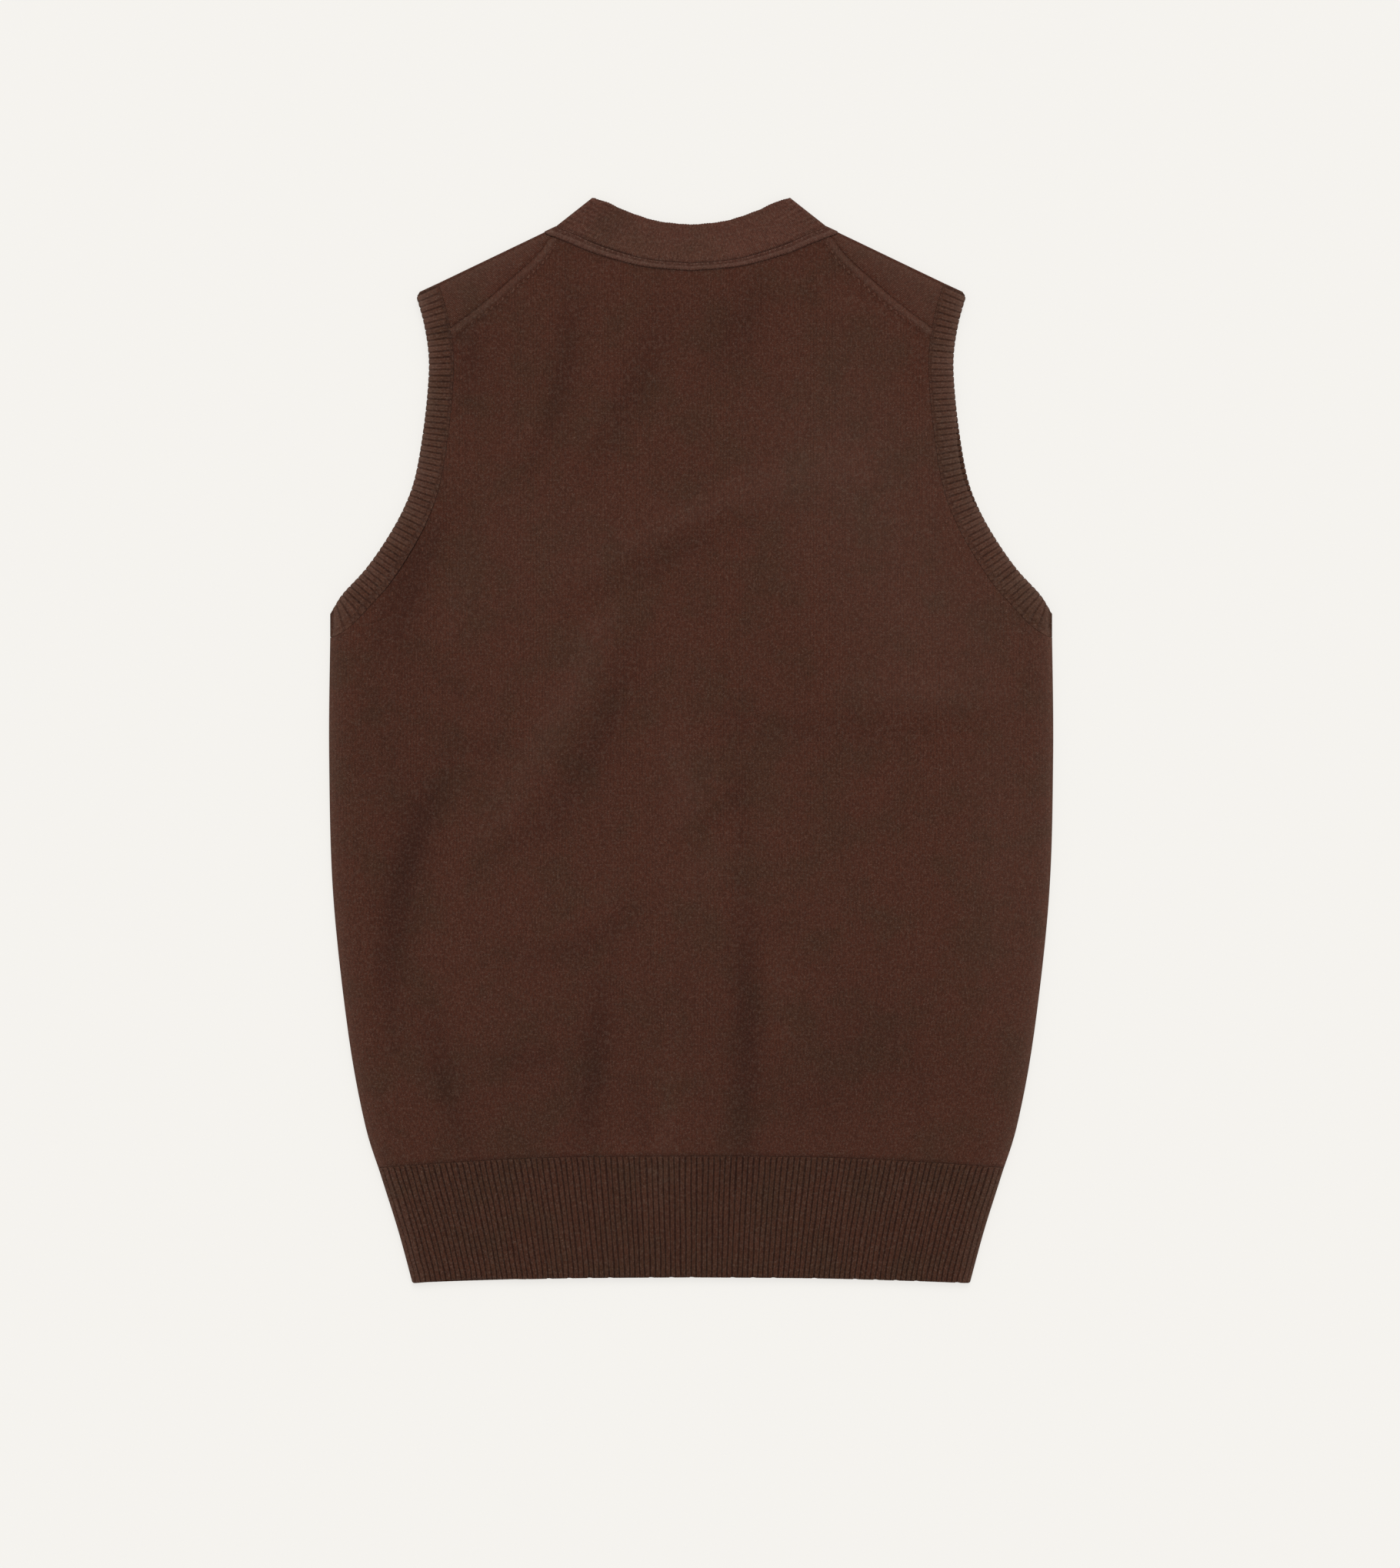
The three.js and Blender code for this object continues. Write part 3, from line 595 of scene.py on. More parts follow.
def wool(name, red, olive, light, relief, painted_shade_share=0.7):
    """Heathered lambswool in plain stitches: reddish and olive fibres, a light fuzz, painted shade in
    the gaps between stitches, and the painted shade and light that the knit attribute carries.
    """
    finish = Finish(name)
    at = Grain(finish, finish.add("ShaderNodeTexCoord").outputs["Object"])
    knit = finish.add("ShaderNodeAttribute", {"attribute_name": "knit"})
    apart = finish.add("ShaderNodeSeparateXYZ", {}, {0: Grain(finish, knit.outputs["Vector"])})
    wale, course, hollow = (Grain(finish, output) for output in apart.outputs)

    # A stitch has two legs that lean out from the middle of its wale, each a rounded loop of yarn.
    uneven = finish.noise(at, STITCH_GRAIN, 1) - 0.5
    in_wale = wale + uneven * 0.16
    side = abs(in_wale.part() - 0.5) * 2
    up_leg = course - side * STITCH_LEAN + uneven * 0.3
    leg = (side * math.pi).maths("SINE") ** 0.7
    loop = (up_leg.part() * math.pi).maths("SINE") ** 0.6
    stitch = leg * (loop * 0.6 + 0.4)
    # Painted light where the knit attribute's painted shade is below 0; its strongest values also
    # smooth the stitches.
    painted_lightening = (hollow * -1).maths("MAXIMUM", 0)
    smooth = painted_lightening.between(0.6, 1.6)
    fuzz = finish.noise(at, FUZZ_GRAIN)
    height = stitch * (1 - smooth * 0.6) + fuzz * 0.35

    # Each leg's yarn has its own share of light fibres, over soft patches of the two colours.
    cell = {"X": (in_wale * 2).maths("FLOOR"), "Y": up_leg.maths("FLOOR")}
    cell = Grain(finish, finish.add("ShaderNodeCombineXYZ", {}, cell).outputs[0])
    own = finish.add("ShaderNodeTexWhiteNoise", {"noise_dimensions": "2D"}, {"Vector": cell})
    own = Grain(finish, own.outputs["Value"])
    patches = finish.noise(at, PATCH_GRAIN, 4).between(0.42, 0.68)
    flecks = finish.noise(at, FLECK_GRAIN)
    heather = patches * 0.45 + flecks.between(0.5, 0.8) * 0.3
    colour = finish.blend(heather, red, olive)
    # Painted shade between the stitch legs and at the wales' edges, and where the knit attribute's
    # painted shade is above 0.
    gap_shade = (1 - stitch) * (1 - smooth * 0.7) * 0.3 + side ** 4 * 0.16
    painted_darkening = hollow.maths("MAXIMUM", 0) * painted_shade_share
    shade = (1 - gap_shade) * (1 - painted_darkening) * (0.74 + own * 0.42)
    dark = finish.noise(at, SPECK_GRAIN, 1).between(0.56, 0.72) * 0.35
    colour = finish.blend(shade * (1 - dark), DARK_WOOL_AND_SHADE, colour)
    # Light fibres and flecks, with painted light from the knit attribute.
    fibres = finish.noise(at, FIBRE_GRAIN, 3).between(0.54, 0.78) * (1 - painted_darkening)
    bright = fibres * 0.3 + flecks.between(0.46, 0.7) * 0.1 + painted_lightening * 0.09
    colour = finish.blend(bright, colour, light)

    bump = finish.add(
        "ShaderNodeBump", {}, {"Strength": 1, "Distance": relief * MM, "Height": height}
    )
    return finish.surface({
        "Base Color": colour,
        "Normal": Grain(finish, bump.outputs[0]),
        "Roughness": 0.95,
        "Specular IOR Level": 0.12,
        "Sheen Weight": 0.25,
        "Sheen Roughness": 0.4,
        "Sheen Tint": light,
    })


def finished(piece, material, stitches=()):
    """Puts a piece's finish on it and on its stitches, and hangs them on the root body."""
    for made in (piece, *stitches):
        made.data.materials.append(material)
        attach(made, "root")


rib_wool = wool(
    "rib_wool", linear((72, 42, 30)), linear((62, 44, 30)), linear((142, 119, 107)), 0.25
)
piece = back_hem_rib()
finished(piece, rib_wool)
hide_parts("back_hem_rib")


# Front hem rib: the same rib on the front, which lies flat on its outer face under the back's.
# It meets the back's rib in the side seams.
FRONT_RIB_ROWS = 27


def front_hem_rib():
    place, ridge, lean, wale = (values[::2] for values in ribs_across(HEM_RIBS))
    u = 1 - place / HEM_RIBS * 2
    hem = where(HEM, "half", np.abs(u) * HEM["half"][-1])
    low, high = hem["low"], hem["high"] - SEAM / 2
    row = np.arange(FRONT_RIB_ROWS + 1)[:, None]
    share = row / FRONT_RIB_ROWS
    y = low + (high - low) * share
    side_y = low[-1] + (high[-1] - low[-1]) * share
    half = outline_half(side_y)
    course = share * HEM_COURSES
    rise = (1 - ridge) * 0.25 * np.clip((high - y) / 3, 0, 1)
    hollow = rib_valley_shade(ridge)
    flat = front_cloth(u * (half - FOLD_OUT), y, rise, -wale, course, hollow)
    edges = [
        side_edge(half, side_y, sign, "front", -HEM_RIBS * (1 - sign) / 2, course)
        for sign in (1, -1)
    ]
    sheet = np.concatenate((edges[0][:, ::-1], flat, edges[1]), axis=1)
    return cloth_piece("front_hem_rib_knit", [sheet], free="first")


piece = front_hem_rib()
finished(piece, rib_wool)
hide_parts("front_hem_rib")


# Back panel: one piece of plain knit from the hem rib up to the armholes, the shoulder seams and the
# neck trim. Along each shoulder seam its last courses are turned under into a smooth rounded welt.
NECK_BACK = table("free_x free_y seam_x seam_y edge_x edge_y", [
    (0, 334.3, 0, 309.5, 0, 304.5),
    (22, 336.7, 30, 312.5, 32, 307.5),
    (42, 343.1, 58, 320.6, 62, 315.7),
    (54, 348.6, 75, 328.1, 80, 323),
    (62.3, 351.2, 86.3, 332.3, 94.4, 328.5),
])
SHOULDER_SEAM = table("x y", [
    (91.2, 326.9),
    (101, 314.2),
    (118, 298.6),
    (136, 283),
    (156.2, 267.6),
])
WELT_WIDTH = 6
WELT_RISE = 0.8
SEAM_END_BEND = 25
SHADE = {"seam": 0.45, "under_welt": 0.25, "welt": -0.75, "under_trim": 0.35, "beside_band": 0.2}
NECK_COLUMNS = 38
SHOULDER_COLUMNS = 40
PANEL_ROWS = 190
WELT_ROWS = 14


def armhole_section(t):
    """The armhole band at t: its free edge, its width, and its seam with the body."""
    edge = along(ARMHOLE, t)
    heading = np.radians(edge["heading"])
    edge["across_x"], edge["across_y"] = np.cos(heading), np.sin(heading)
    edge["seam_x"] = edge["x"] + edge["across_x"] * edge["width"]
    edge["seam_y"] = edge["y"] + edge["across_y"] * edge["width"]
    return edge


def armhole_body_half(y):
    """Half of the body's width between the armhole bands, at a height on the vest."""
    section = armhole_section(np.linspace(0, 1, 3001))
    rising = np.maximum.accumulate(section["seam_y"])
    return np.interp(y, rising, section["seam_x"]) - SEAM / 2


def wale_count(x, y):
    """Wales from the middle of a panel, which draw together towards the hem rib."""
    return x / WALE * SIDE["half"][-1] / outline_half(np.minimum(y, SIDE["y"][-1]))


def seam_distance(x, y):
    """Distance in plan from the shoulder seams, and a far number beyond their ends at the neck."""
    seam = along(SHOULDER_SEAM, np.linspace(0, 1, 121))
    nearest_square = np.full(np.shape(x), np.inf)
    for seam_x, seam_y in zip(seam["x"], seam["y"]):
        square = (np.abs(x) - seam_x) ** 2 + (y - seam_y) ** 2
        nearest_square = np.minimum(nearest_square, square)
    return np.sqrt(nearest_square)


def back_panel():
    start, last = SHOULDER_SEAM["x"][0], SHOULDER_SEAM["x"][-1]
    neck_x = start * np.arange(NECK_COLUMNS) / NECK_COLUMNS
    neck_y = where(NECK_BACK, "edge_x", neck_x)["edge_y"] - 0.6 * SEAM
    seam_end = armhole_body_half(SHOULDER_SEAM["y"][-1]) - FOLD_OUT
    seam_x = along(SHOULDER_SEAM, np.linspace(0, 1, SHOULDER_COLUMNS + 1))["x"]
    seam_x = start + (seam_x - start) * (seam_end - start) / (last - start)

    def seam_top(x):
        return where(SHOULDER_SEAM, "x", x + SEAM / 2)["y"] - SEAM / 2

    top_x = np.concatenate((neck_x, seam_x))
    top_y = np.concatenate((neck_y, seam_top(seam_x)))
    a = np.concatenate((-top_x[:0:-1], top_x)) / top_x[-1]
    top = np.concatenate((top_y[:0:-1], top_y))
    bottom = where(HEM, "half", np.abs(a) * HEM["half"][-1])["high"] + SEAM / 2
    low, high = HEM["high"][-1] + SEAM / 2, top_y[-1]
    welt_low = high - WELT_WIDTH - 3
    height = np.concatenate((
        np.linspace(low, welt_low, PANEL_ROWS)[:-1],
        np.linspace(welt_low, high, WELT_ROWS),
    ))[:, None]
    share = (height - low) / (high - low)
    on_side = height <= SIDE["y"][-1]
    half = np.where(on_side, outline_half(height), armhole_body_half(height))
    reach = np.linspace(0, 1, 6)[1:] * FOLD_OUT
    flat_half = half - FOLD_OUT
    side_x = flat_half + reach
    side_y = height - (high - seam_top(side_x)) * smoothstep(height, high - SEAM_END_BEND, high)
    x = np.concatenate((-side_x[:, ::-1], a * flat_half, side_x), axis=1)
    y = np.concatenate((side_y[:, ::-1], bottom + (top - bottom) * share, side_y), axis=1)

    from_seam = seam_distance(x, y)
    welt = smoothstep(from_seam, 0, 1.6) * (1 - smoothstep(from_seam, WELT_WIDTH - 2.5, WELT_WIDTH))
    under_welt = np.exp(-((from_seam - WELT_WIDTH - 0.8) / 1.3) ** 2)
    seam = 1 - smoothstep(from_seam, 0.3, 1.2)
    from_trim = where(NECK_BACK, "edge_x", np.minimum(np.abs(x), 94))["edge_y"] - y
    under_trim = (1 - smoothstep(from_trim, 0.3, 1.8)) * (np.abs(x) < start)
    beside_band = smoothstep(np.abs(x), half - 0.9, half)
    # Painted shade along the shoulder seam, under the welt, under the neck trim and beside the armhole
    # band, and painted light on the welt.
    hollow = SHADE["seam"] * seam + SHADE["under_welt"] * under_welt + SHADE["welt"] * welt
    hollow += SHADE["under_trim"] * under_trim + SHADE["beside_band"] * beside_band
    cloth = back_cloth(x, y, welt * WELT_RISE, wale_count(x, y), y / COURSE, hollow)
    for sign, edge in ((-1, cloth[:, :len(reach)]), (1, cloth[:, -len(reach):])):
        wale = wale_count(sign * flat_half, height)
        folded = side_edge(half, height, sign, "back", wale, height / COURSE)[:, ::sign]
        edge[:] = np.where(on_side[..., None], folded, edge)
    return cloth_piece("back_panel_knit", [cloth], coarse=(3, 3))


# Fashioning marks: short slanted stitches, doubled where the body was narrowed. They lie under each
# shoulder's welt and, further apart, beside the armholes: how far along each edge, and how far in.
SHOULDER_MARKS = table("along inwards lean length", [
    (0.05, 5.2, 72, 2.4),
    (0.1, 5.6, 66, 2.6),
    (0.15, 5.5, 74, 2.4),
    (0.2, 6, 70, 2.9),
    (0.25, 6.3, 64, 2.5),
    (0.3, 6.2, 72, 2.8),
    (0.345, 6.5, 70, 2.4),
    (0.39, 6.4, 66, 2.9),
    (0.435, 6.6, 76, 2.7),
    (0.485, 6.3, 70, 2.5),
    (0.53, 6.7, 68, 3),
    (0.575, 6.5, 74, 2.6),
    (0.625, 6.4, 66, 2.8),
    (0.67, 6.6, 72, 2.5),
    (0.72, 6.1, 70, 2.9),
    (0.765, 6.2, 66, 2.6),
    (0.81, 5.7, 72, 2.8),
    (0.86, 5.4, 68, 2.4),
    (0.91, 4.7, 70, 2.5),
])
ARMHOLE_MARKS = table("along inwards lean length", [
    (0.13, 5.2, 100, 2.6),
    (0.19, 5.6, 96, 2.8),
    (0.25, 5.4, 98, 2.6),
    (0.32, 5.8, 94, 2.8),
    (0.4, 5.5, 92, 2.6),
    (0.49, 5.6, 92, 2.6),
    (0.6, 5.3, 88, 2.8),
    (0.72, 5.5, 86, 2.6),
])
MARK_HALF_WIDTH = 0.8
MARK_RISE = 0.34
MARK_LIGHT = 0.8


def fashioning_marks():
    across, lengthways = np.meshgrid(np.linspace(-1, 1, 7), np.linspace(-1, 1, 11))
    dome = np.sqrt(np.clip(1 - across ** 2, 0, 1)) * np.clip(1 - lengthways ** 4, 0, 1) ** 0.5
    seam_t, edge_t = SHOULDER_MARKS["along"], ARMHOLE_MARKS["along"]
    seam, step = along(SHOULDER_SEAM, seam_t), along(SHOULDER_SEAM, seam_t + 0.01)
    run_x, run_y = step["x"] - seam["x"], step["y"] - seam["y"]
    run = np.hypot(run_x, run_y)
    band = armhole_section(edge_t)
    spots = [
        (seam["x"] + run_y / run * SHOULDER_MARKS["inwards"],
         seam["y"] - run_x / run * SHOULDER_MARKS["inwards"], SHOULDER_MARKS),
        (band["seam_x"] + band["across_x"] * ARMHOLE_MARKS["inwards"],
         band["seam_y"] + band["across_y"] * ARMHOLE_MARKS["inwards"], ARMHOLE_MARKS),
    ]
    places, triangles, knit = [], [], []
    number = np.arange(dome.size).reshape(dome.shape)
    corners = (number[:-1, :-1], number[:-1, 1:], number[1:, 1:], number[1:, :-1])
    quads = np.stack(corners, axis=-1).reshape(-1, 4)
    faces = np.concatenate((quads[:, [0, 1, 2]], quads[:, [0, 2, 3]]))
    faces = np.concatenate((faces, faces[:, ::-1] + dome.size))
    for spot_x, spot_y, marks in spots:
        for x, y, lean, length in zip(spot_x, spot_y, marks["lean"], marks["length"]):
            turn = math.radians(180 - lean)
            out = MARK_HALF_WIDTH * across * (0.72 + 0.28 * lengthways)
            up = length / 2 * lengthways + 0.3 * np.sin(math.pi * lengthways)
            at_x = x + up * math.cos(turn) + out * math.sin(turn)
            at_y = y + up * math.sin(turn) - out * math.cos(turn)
            for sign in (-1, 1):
                # The marks carry painted light.
                cloth = back_cloth(sign * at_x, at_y, 0, 0.25, lengthways * 1.4, -MARK_LIGHT)
                low = cloth[..., :3] + np.array([0, 0, 0.03])
                high = low + np.array([0, 0, 1]) * (MARK_RISE * dome)[..., None]
                grid = np.concatenate((high.reshape(-1, 3), low.reshape(-1, 3)))
                ring = faces[:, ::-1] if sign > 0 else faces
                triangles.append(ring + len(places) * len(grid))
                places.append(grid)
                knit.append(np.tile(cloth[..., 6:].reshape(-1, 3), (2, 1))[ring])
    return mesh_piece(
        "fashioning_marks_knit", np.concatenate(places), np.concatenate(triangles),
        np.concatenate(knit),
    )


body_wool = wool(
    "body_wool", linear((80, 44, 32)), linear((64, 45, 31)), linear((144, 119, 106)), 0.32
)
piece = back_panel()
marks = [fashioning_marks()]
finished(piece, body_wool, marks)
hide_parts("back_panel")


# Front panel: one piece of plain knit from the hem rib past the V neck. It runs over the shoulders in
# soft folds, and down to the shoulder seams on the back.
NECK_FRONT = table("free_x free_y seam_x seam_y edge_x edge_y", [
    (62.3, 351.2, 86.3, 332.3, 94.4, 328.5),
    (35, 250, 49.5, 214, 56.6, 212),
    (0, 150, 0, 75, 0, 53),
])
V_SEAM = 1.2
SHOULDER_OUT = 65
NECK_FOLD_START = (94.45, 328)
FLAP_LIGHT = 0.45
FLAP_SEAM_SHADE = 0.75
FLAP_SEAM_WIDTH = 2.8
FRONT_COLUMNS = 50
FRONT_SIDE_ROWS = 50
FRONT_ARMHOLE_ROWS = 60
FOLD_STEPS = 9
FLAP_ROWS = 26
FOLD_TURNS = np.linspace(180, 0, FOLD_STEPS + 2)[1:-1]


def blended(a, b, t):
    return a + (b - a) * t


def mirrored(sheet):
    """The same sheet on the other side of the vest, with the painted light and shade of that side."""
    other = sheet[:, ::-1] * np.array([-1, 1, 1, -1, 1, 1, -1, 1, 1])
    x, y = other[..., 0], other[..., 1]
    other[..., 8] += painted_light(-x, y) - painted_light(x, y)
    return other


def front_panel():
    low = HEM["high"][-1] + SEAM / 2
    out_x, out_y = math.cos(math.radians(SHOULDER_OUT)), math.sin(math.radians(SHOULDER_OUT))
    end = armhole_section(np.array(1.0))
    end_x, end_y = end["seam_x"], end["seam_y"]
    run = math.hypot(NECK_FOLD_START[0] - end_x, NECK_FOLD_START[1] - end_y)
    tip_x = blended(end_x, NECK_FOLD_START[0], SEAM / run)
    tip_y = blended(end_y, NECK_FOLD_START[1], SEAM / run)
    underarm = SIDE["y"][-1]
    rows = np.arange(FRONT_ARMHOLE_ROWS) + 1
    height = np.concatenate((
        np.linspace(low, underarm, FRONT_SIDE_ROWS + 1),
        underarm + (tip_y - underarm) * (rows / FRONT_ARMHOLE_ROWS) ** 1.4,
    ))[:, None]
    on_side = np.arange(len(height))[:, None] <= FRONT_SIDE_ROWS
    half = np.where(on_side, outline_half(height), armhole_body_half(height))
    rise = np.clip(np.arange(len(height)) / FRONT_SIDE_ROWS, 0, 1)[:, None]
    t = np.concatenate((np.zeros(FRONT_SIDE_ROWS), np.arange(FRONT_ARMHOLE_ROWS + 1)))
    t = t[:, None] / FRONT_ARMHOLE_ROWS
    neck = along(NECK_FRONT, 1 - t)
    middle_x = neck["edge_x"] + SEAM * (1 - t)
    middle_x[:FRONT_SIDE_ROWS + 1] = 0
    v_point = NECK_FRONT["edge_y"][-1] - V_SEAM
    hem_middle = HEM["high"][0] + SEAM / 2
    middle_y = np.where(
        on_side, blended(hem_middle, v_point, rise), neck["edge_y"] - V_SEAM * (1 - t)
    )
    side_x, side_y = half - FOLD_OUT, height.copy()
    middle_x[-1], middle_y[-1] = NECK_FOLD_START
    side_x[-1], side_y[-1] = tip_x, tip_y
    share = np.linspace(0, 1, FRONT_COLUMNS + 1)
    straight = HEM["high"][0] + (HEM["high"][-1] - HEM["high"][0]) * share
    bend = where(HEM, "half", HEM["half"][-1] * share)["high"] - straight
    x = blended(middle_x, side_x, share)
    y = blended(middle_y, side_y, share) + bend * (1 - rise)
    cloth = front_cloth(x, y, 0, -wale_count(x, y), y / COURSE)

    reach = np.linspace(0, 1, 6)[1:]
    wale = -wale_count(side_x, side_y)
    folded = side_edge(half, height, 1, "front", 0, height / COURSE)
    folded[..., 6] = wale - reach * 2
    level_x = blended(side_x, half, reach)
    level_y = np.broadcast_to(side_y, level_x.shape).copy()
    level_x[-1] = blended(tip_x, end_x, reach * 0.8)
    level_y[-1] = blended(tip_y, end_y, reach * 0.8)
    level = front_cloth(level_x, level_y, 0, -wale_count(level_x, level_y), level_y / COURSE)
    edge = np.where(on_side[..., None], folded, level)
    front = np.concatenate((cloth, edge), axis=1)[:, ::-1]

    axis_x, axis_y = front[-1, :, 0], front[-1, :, 1]
    turn = FOLD_TURNS[:, None]
    arc = np.radians(180 - turn) * FOLD_OUT
    fold = folded_cloth(
        axis_x, axis_y, out_x, out_y, turn,
        -wale_count(axis_x + out_x * arc, axis_y + 0 * arc), (axis_y + out_y * arc) / COURSE,
    )
    share = (axis_x - axis_x[-1]) / (axis_x[0] - axis_x[-1])
    down = np.linspace(0, 1, FLAP_ROWS)[:, None]
    seam = along(SHOULDER_SEAM, share)
    flap_end_x = blended(axis_x[0], SHOULDER_SEAM["x"][-1], down)
    flap_end_y = blended(axis_y[0], SHOULDER_SEAM["y"][-1], down)
    widening = np.where(down > 0, armhole_body_half(flap_end_y) - flap_end_x, 0)
    x = blended(axis_x, seam["x"], down) + widening * share
    y = blended(axis_y, seam["y"], down)
    inside = (x - NECK_FOLD_START[0]) * out_x + (y - NECK_FOLD_START[1]) * out_y
    unfold = math.pi * FOLD_OUT - 2 * inside
    # Painted shadow beside the shoulder seam, painted light over the flap, and painted shade at its
    # armhole end.
    seam_shade = np.exp(-seam_distance(x, y) / FLAP_SEAM_WIDTH) * FLAP_SEAM_SHADE
    hollow = seam_shade - FLAP_LIGHT + smoothstep(share, 0.985, 1) * 0.3
    flap = back_cloth(
        x, y, 0, -wale_count(x + unfold * out_x, y + unfold * out_y),
        (y + unfold * out_y) / COURSE, np.clip(hollow, -1, 1),
    )
    right = np.concatenate((front, fold, flap))
    return cloth_piece("front_panel_knit", [right, mirrored(right)], coarse=(2, 2))


piece = front_panel()
finished(piece, body_wool)
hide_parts("front_panel")


# Armhole bands: short one-by-one rib knitted across each band and linked on through a plain strip,
# with a dotted line of link stitches. Each is a ring, folded flat at the shoulder and underarm.
ARMHOLE_RIBS = 59
ARMHOLE_RIB_RISE = 0.3
ARMHOLE_RIB_LENGTH = 13.6
ARMHOLE_COURSES = 9
SCALLOP = 0.45
ARMHOLE_PEEK_FROM = 145
ARMHOLE_PEEK_TO = 212
ARMHOLE_PEEK = 2.6
UNDERARM_ROUND = 2.5
UNDERARM_ROUND_DEPTH = 5
BAND_TURNS = np.linspace(0, 180, 10)[1:-1]
BAND_SEEDS = {"right": 5, "left": 6}
BAND_TONE = 0.3
BAND_UNEVEN = 0.03
LINK_RISE = 0.16
LINK_LIGHT = 0.5
PINCH_SHADE = 0.8
# The plain strip by which a band is linked on: shares of its width, its rise and its painted shade.
STRIP = table("share rise hollow", [
    (0.12, -0.15, 0.4),
    (0.3, -0.2, 0.45),
    (0.5, -0.05, 0.3),
    (0.7, 0.1, 0.1),
    (0.88, 0.1, 0),
    (1, 0, 0.2),
])


def even_steps(point, share):
    """Places t at shares of the length of the curve that point(t) gives."""
    t = np.linspace(0, 1, 2001)
    at = point(t)
    length = np.append(0, np.cumsum(np.hypot(np.diff(at["x"]), np.diff(at["y"]))))
    return np.interp(share, length / length[-1], t)


def armhole_band(name, side):
    place, ridge, lean, wale = ribs_across(ARMHOLE_RIBS)
    rows = np.arange(2 * ARMHOLE_COURSES + 1)[:, None]
    strip, strip_rise, strip_shade = (STRIP[name][:, None] for name in ("share", "rise", "hollow"))
    ribbed = np.concatenate((np.ones(len(rows)), np.zeros(len(strip))))[:, None]

    def distance(t, lean, ridge):
        """How far each row is from the free edge."""
        room = np.minimum(rows, 2 * ARMHOLE_COURSES - rows) / 3
        course = rows / 2 + 0.8 * (1 - lean) * np.clip(room, 0, 1)
        ribs = course * ARMHOLE_RIB_LENGTH / ARMHOLE_COURSES
        ribs = ribs - SCALLOP * ridge * np.clip(1 - rows / 3, 0, 1)
        width = armhole_section(t)["width"] - SEAM / 2
        return np.concatenate((ribs, blended(ARMHOLE_RIB_LENGTH, width, strip))), course

    def peek(t, across):
        """How far the back of the right band draws in from its free edge."""
        at = (armhole_section(t)["y"] - ARMHOLE_PEEK_FROM) / (ARMHOLE_PEEK_TO - ARMHOLE_PEEK_FROM)
        most = ARMHOLE_PEEK if side == "right" else 0
        share = np.clip(1 - across / ARMHOLE_RIB_LENGTH, 0, 1)
        return most * np.sin(math.pi * np.clip(at, 0, 1)) * share

    def spot(t, across):
        section = armhole_section(t)
        return section["x"] + section["across_x"] * across, section["y"] + section["across_y"] * across

    random = np.random.default_rng(BAND_SEEDS[side])
    across, course = distance(even_steps(armhole_section, place / ARMHOLE_RIBS), lean, ridge)
    t = even_steps(armhole_section, place / ARMHOLE_RIBS)
    x, y = spot(t, across + peek(t, across))
    dip = STITCH_DIP * (rows % 2 == 0) * (ridge > 0)
    ends = np.clip((2 * ARMHOLE_COURSES - rows) / 1.5, 0, 1)
    tone = random.uniform(-BAND_TONE, BAND_TONE, ARMHOLE_RIBS + 1)
    tone = np.interp(place, np.arange(ARMHOLE_RIBS + 1), tone)
    relief = (ridge * ARMHOLE_RIB_RISE - dip + random.normal(0, BAND_UNEVEN, course.shape)) * ends
    link = np.cos(place * 4 * math.pi + np.sin(place * 1.7)) * np.exp(-((strip - 0.5) / 0.2) ** 2)
    pinch = np.clip(np.cos(place * 2 * math.pi + np.sin(place * 0.9)), 0, 1) ** 2
    pinch = pinch * np.exp(-((strip - 0.8) / 0.2) ** 2)
    strip_rise = strip_rise + LINK_RISE * link
    # Painted light on the link stitches and painted shade at the pinches.
    strip_shade = strip_shade - LINK_LIGHT * link + PINCH_SHADE * pinch
    # Painted shade in the rib valleys and where the ribs end, over a random tone for each rib.
    rib_shade = rib_valley_shade(relief / ARMHOLE_RIB_RISE) * ends * 0.7 + 0.4 * (1 - ends) + tone
    back = back_cloth(
        x, y, np.concatenate((relief, strip_rise)), wale,
        np.concatenate((course + 0 * lean, ARMHOLE_COURSES + strip * 2 + 0 * lean)),
        np.concatenate((rib_shade, strip_shade)),
    )

    few = slice(None, None, 2)
    f_place, f_ridge, f_lean, f_wale = (v[few][::-1] for v in (place, ridge, lean, wale))
    t = even_steps(armhole_section, f_place / ARMHOLE_RIBS)
    across, course = distance(t, f_lean, f_ridge)
    x, y = spot(t, across)
    valley = (1 - f_ridge) * 0.2 * ribbed
    front = front_cloth(
        x, y, valley, -f_wale, np.concatenate((course, ARMHOLE_COURSES + strip * 2 + 0 * f_lean)),
        rib_valley_shade(f_ridge) * ribbed,
    )
    front[..., 5] = CLOTH + 0.3 * f_ridge * ribbed

    def fold(t, out, turn):
        t = np.array(float(t))
        across, course = distance(t, 1.0, 0.0)
        corner = UNDERARM_ROUND * np.clip(1 - across / UNDERARM_ROUND_DEPTH, 0, 1) ** 2
        x, y = spot(t, across + corner * np.sin(np.radians(turn)))
        count = turn / 180 * 4
        courses = np.concatenate((course, ARMHOLE_COURSES + strip * 2))
        # The folds carry painted shade along their ribbed part.
        return folded_cloth(
            x, y, math.cos(out), math.sin(out), turn, count, courses, hollow=0.3 * ribbed
        )

    shoulder = fold(1, math.radians(SHOULDER_OUT), BAND_TURNS)
    underarm = fold(0, 0, BAND_TURNS[::-1])
    sheet = np.concatenate((back, shoulder, front, underarm, back[:, :1]), axis=1)
    kept = nearest(back.shape[1], 16)
    kept = np.concatenate((kept, np.arange(len(kept), sheet.shape[1])))
    if side == "left":
        sheet, kept = mirrored(sheet), sheet.shape[1] - 1 - kept[::-1]
    coarse = (nearest(sheet.shape[0], 3), kept)
    return cloth_piece(name, [sheet], coarse=coarse, free="first")


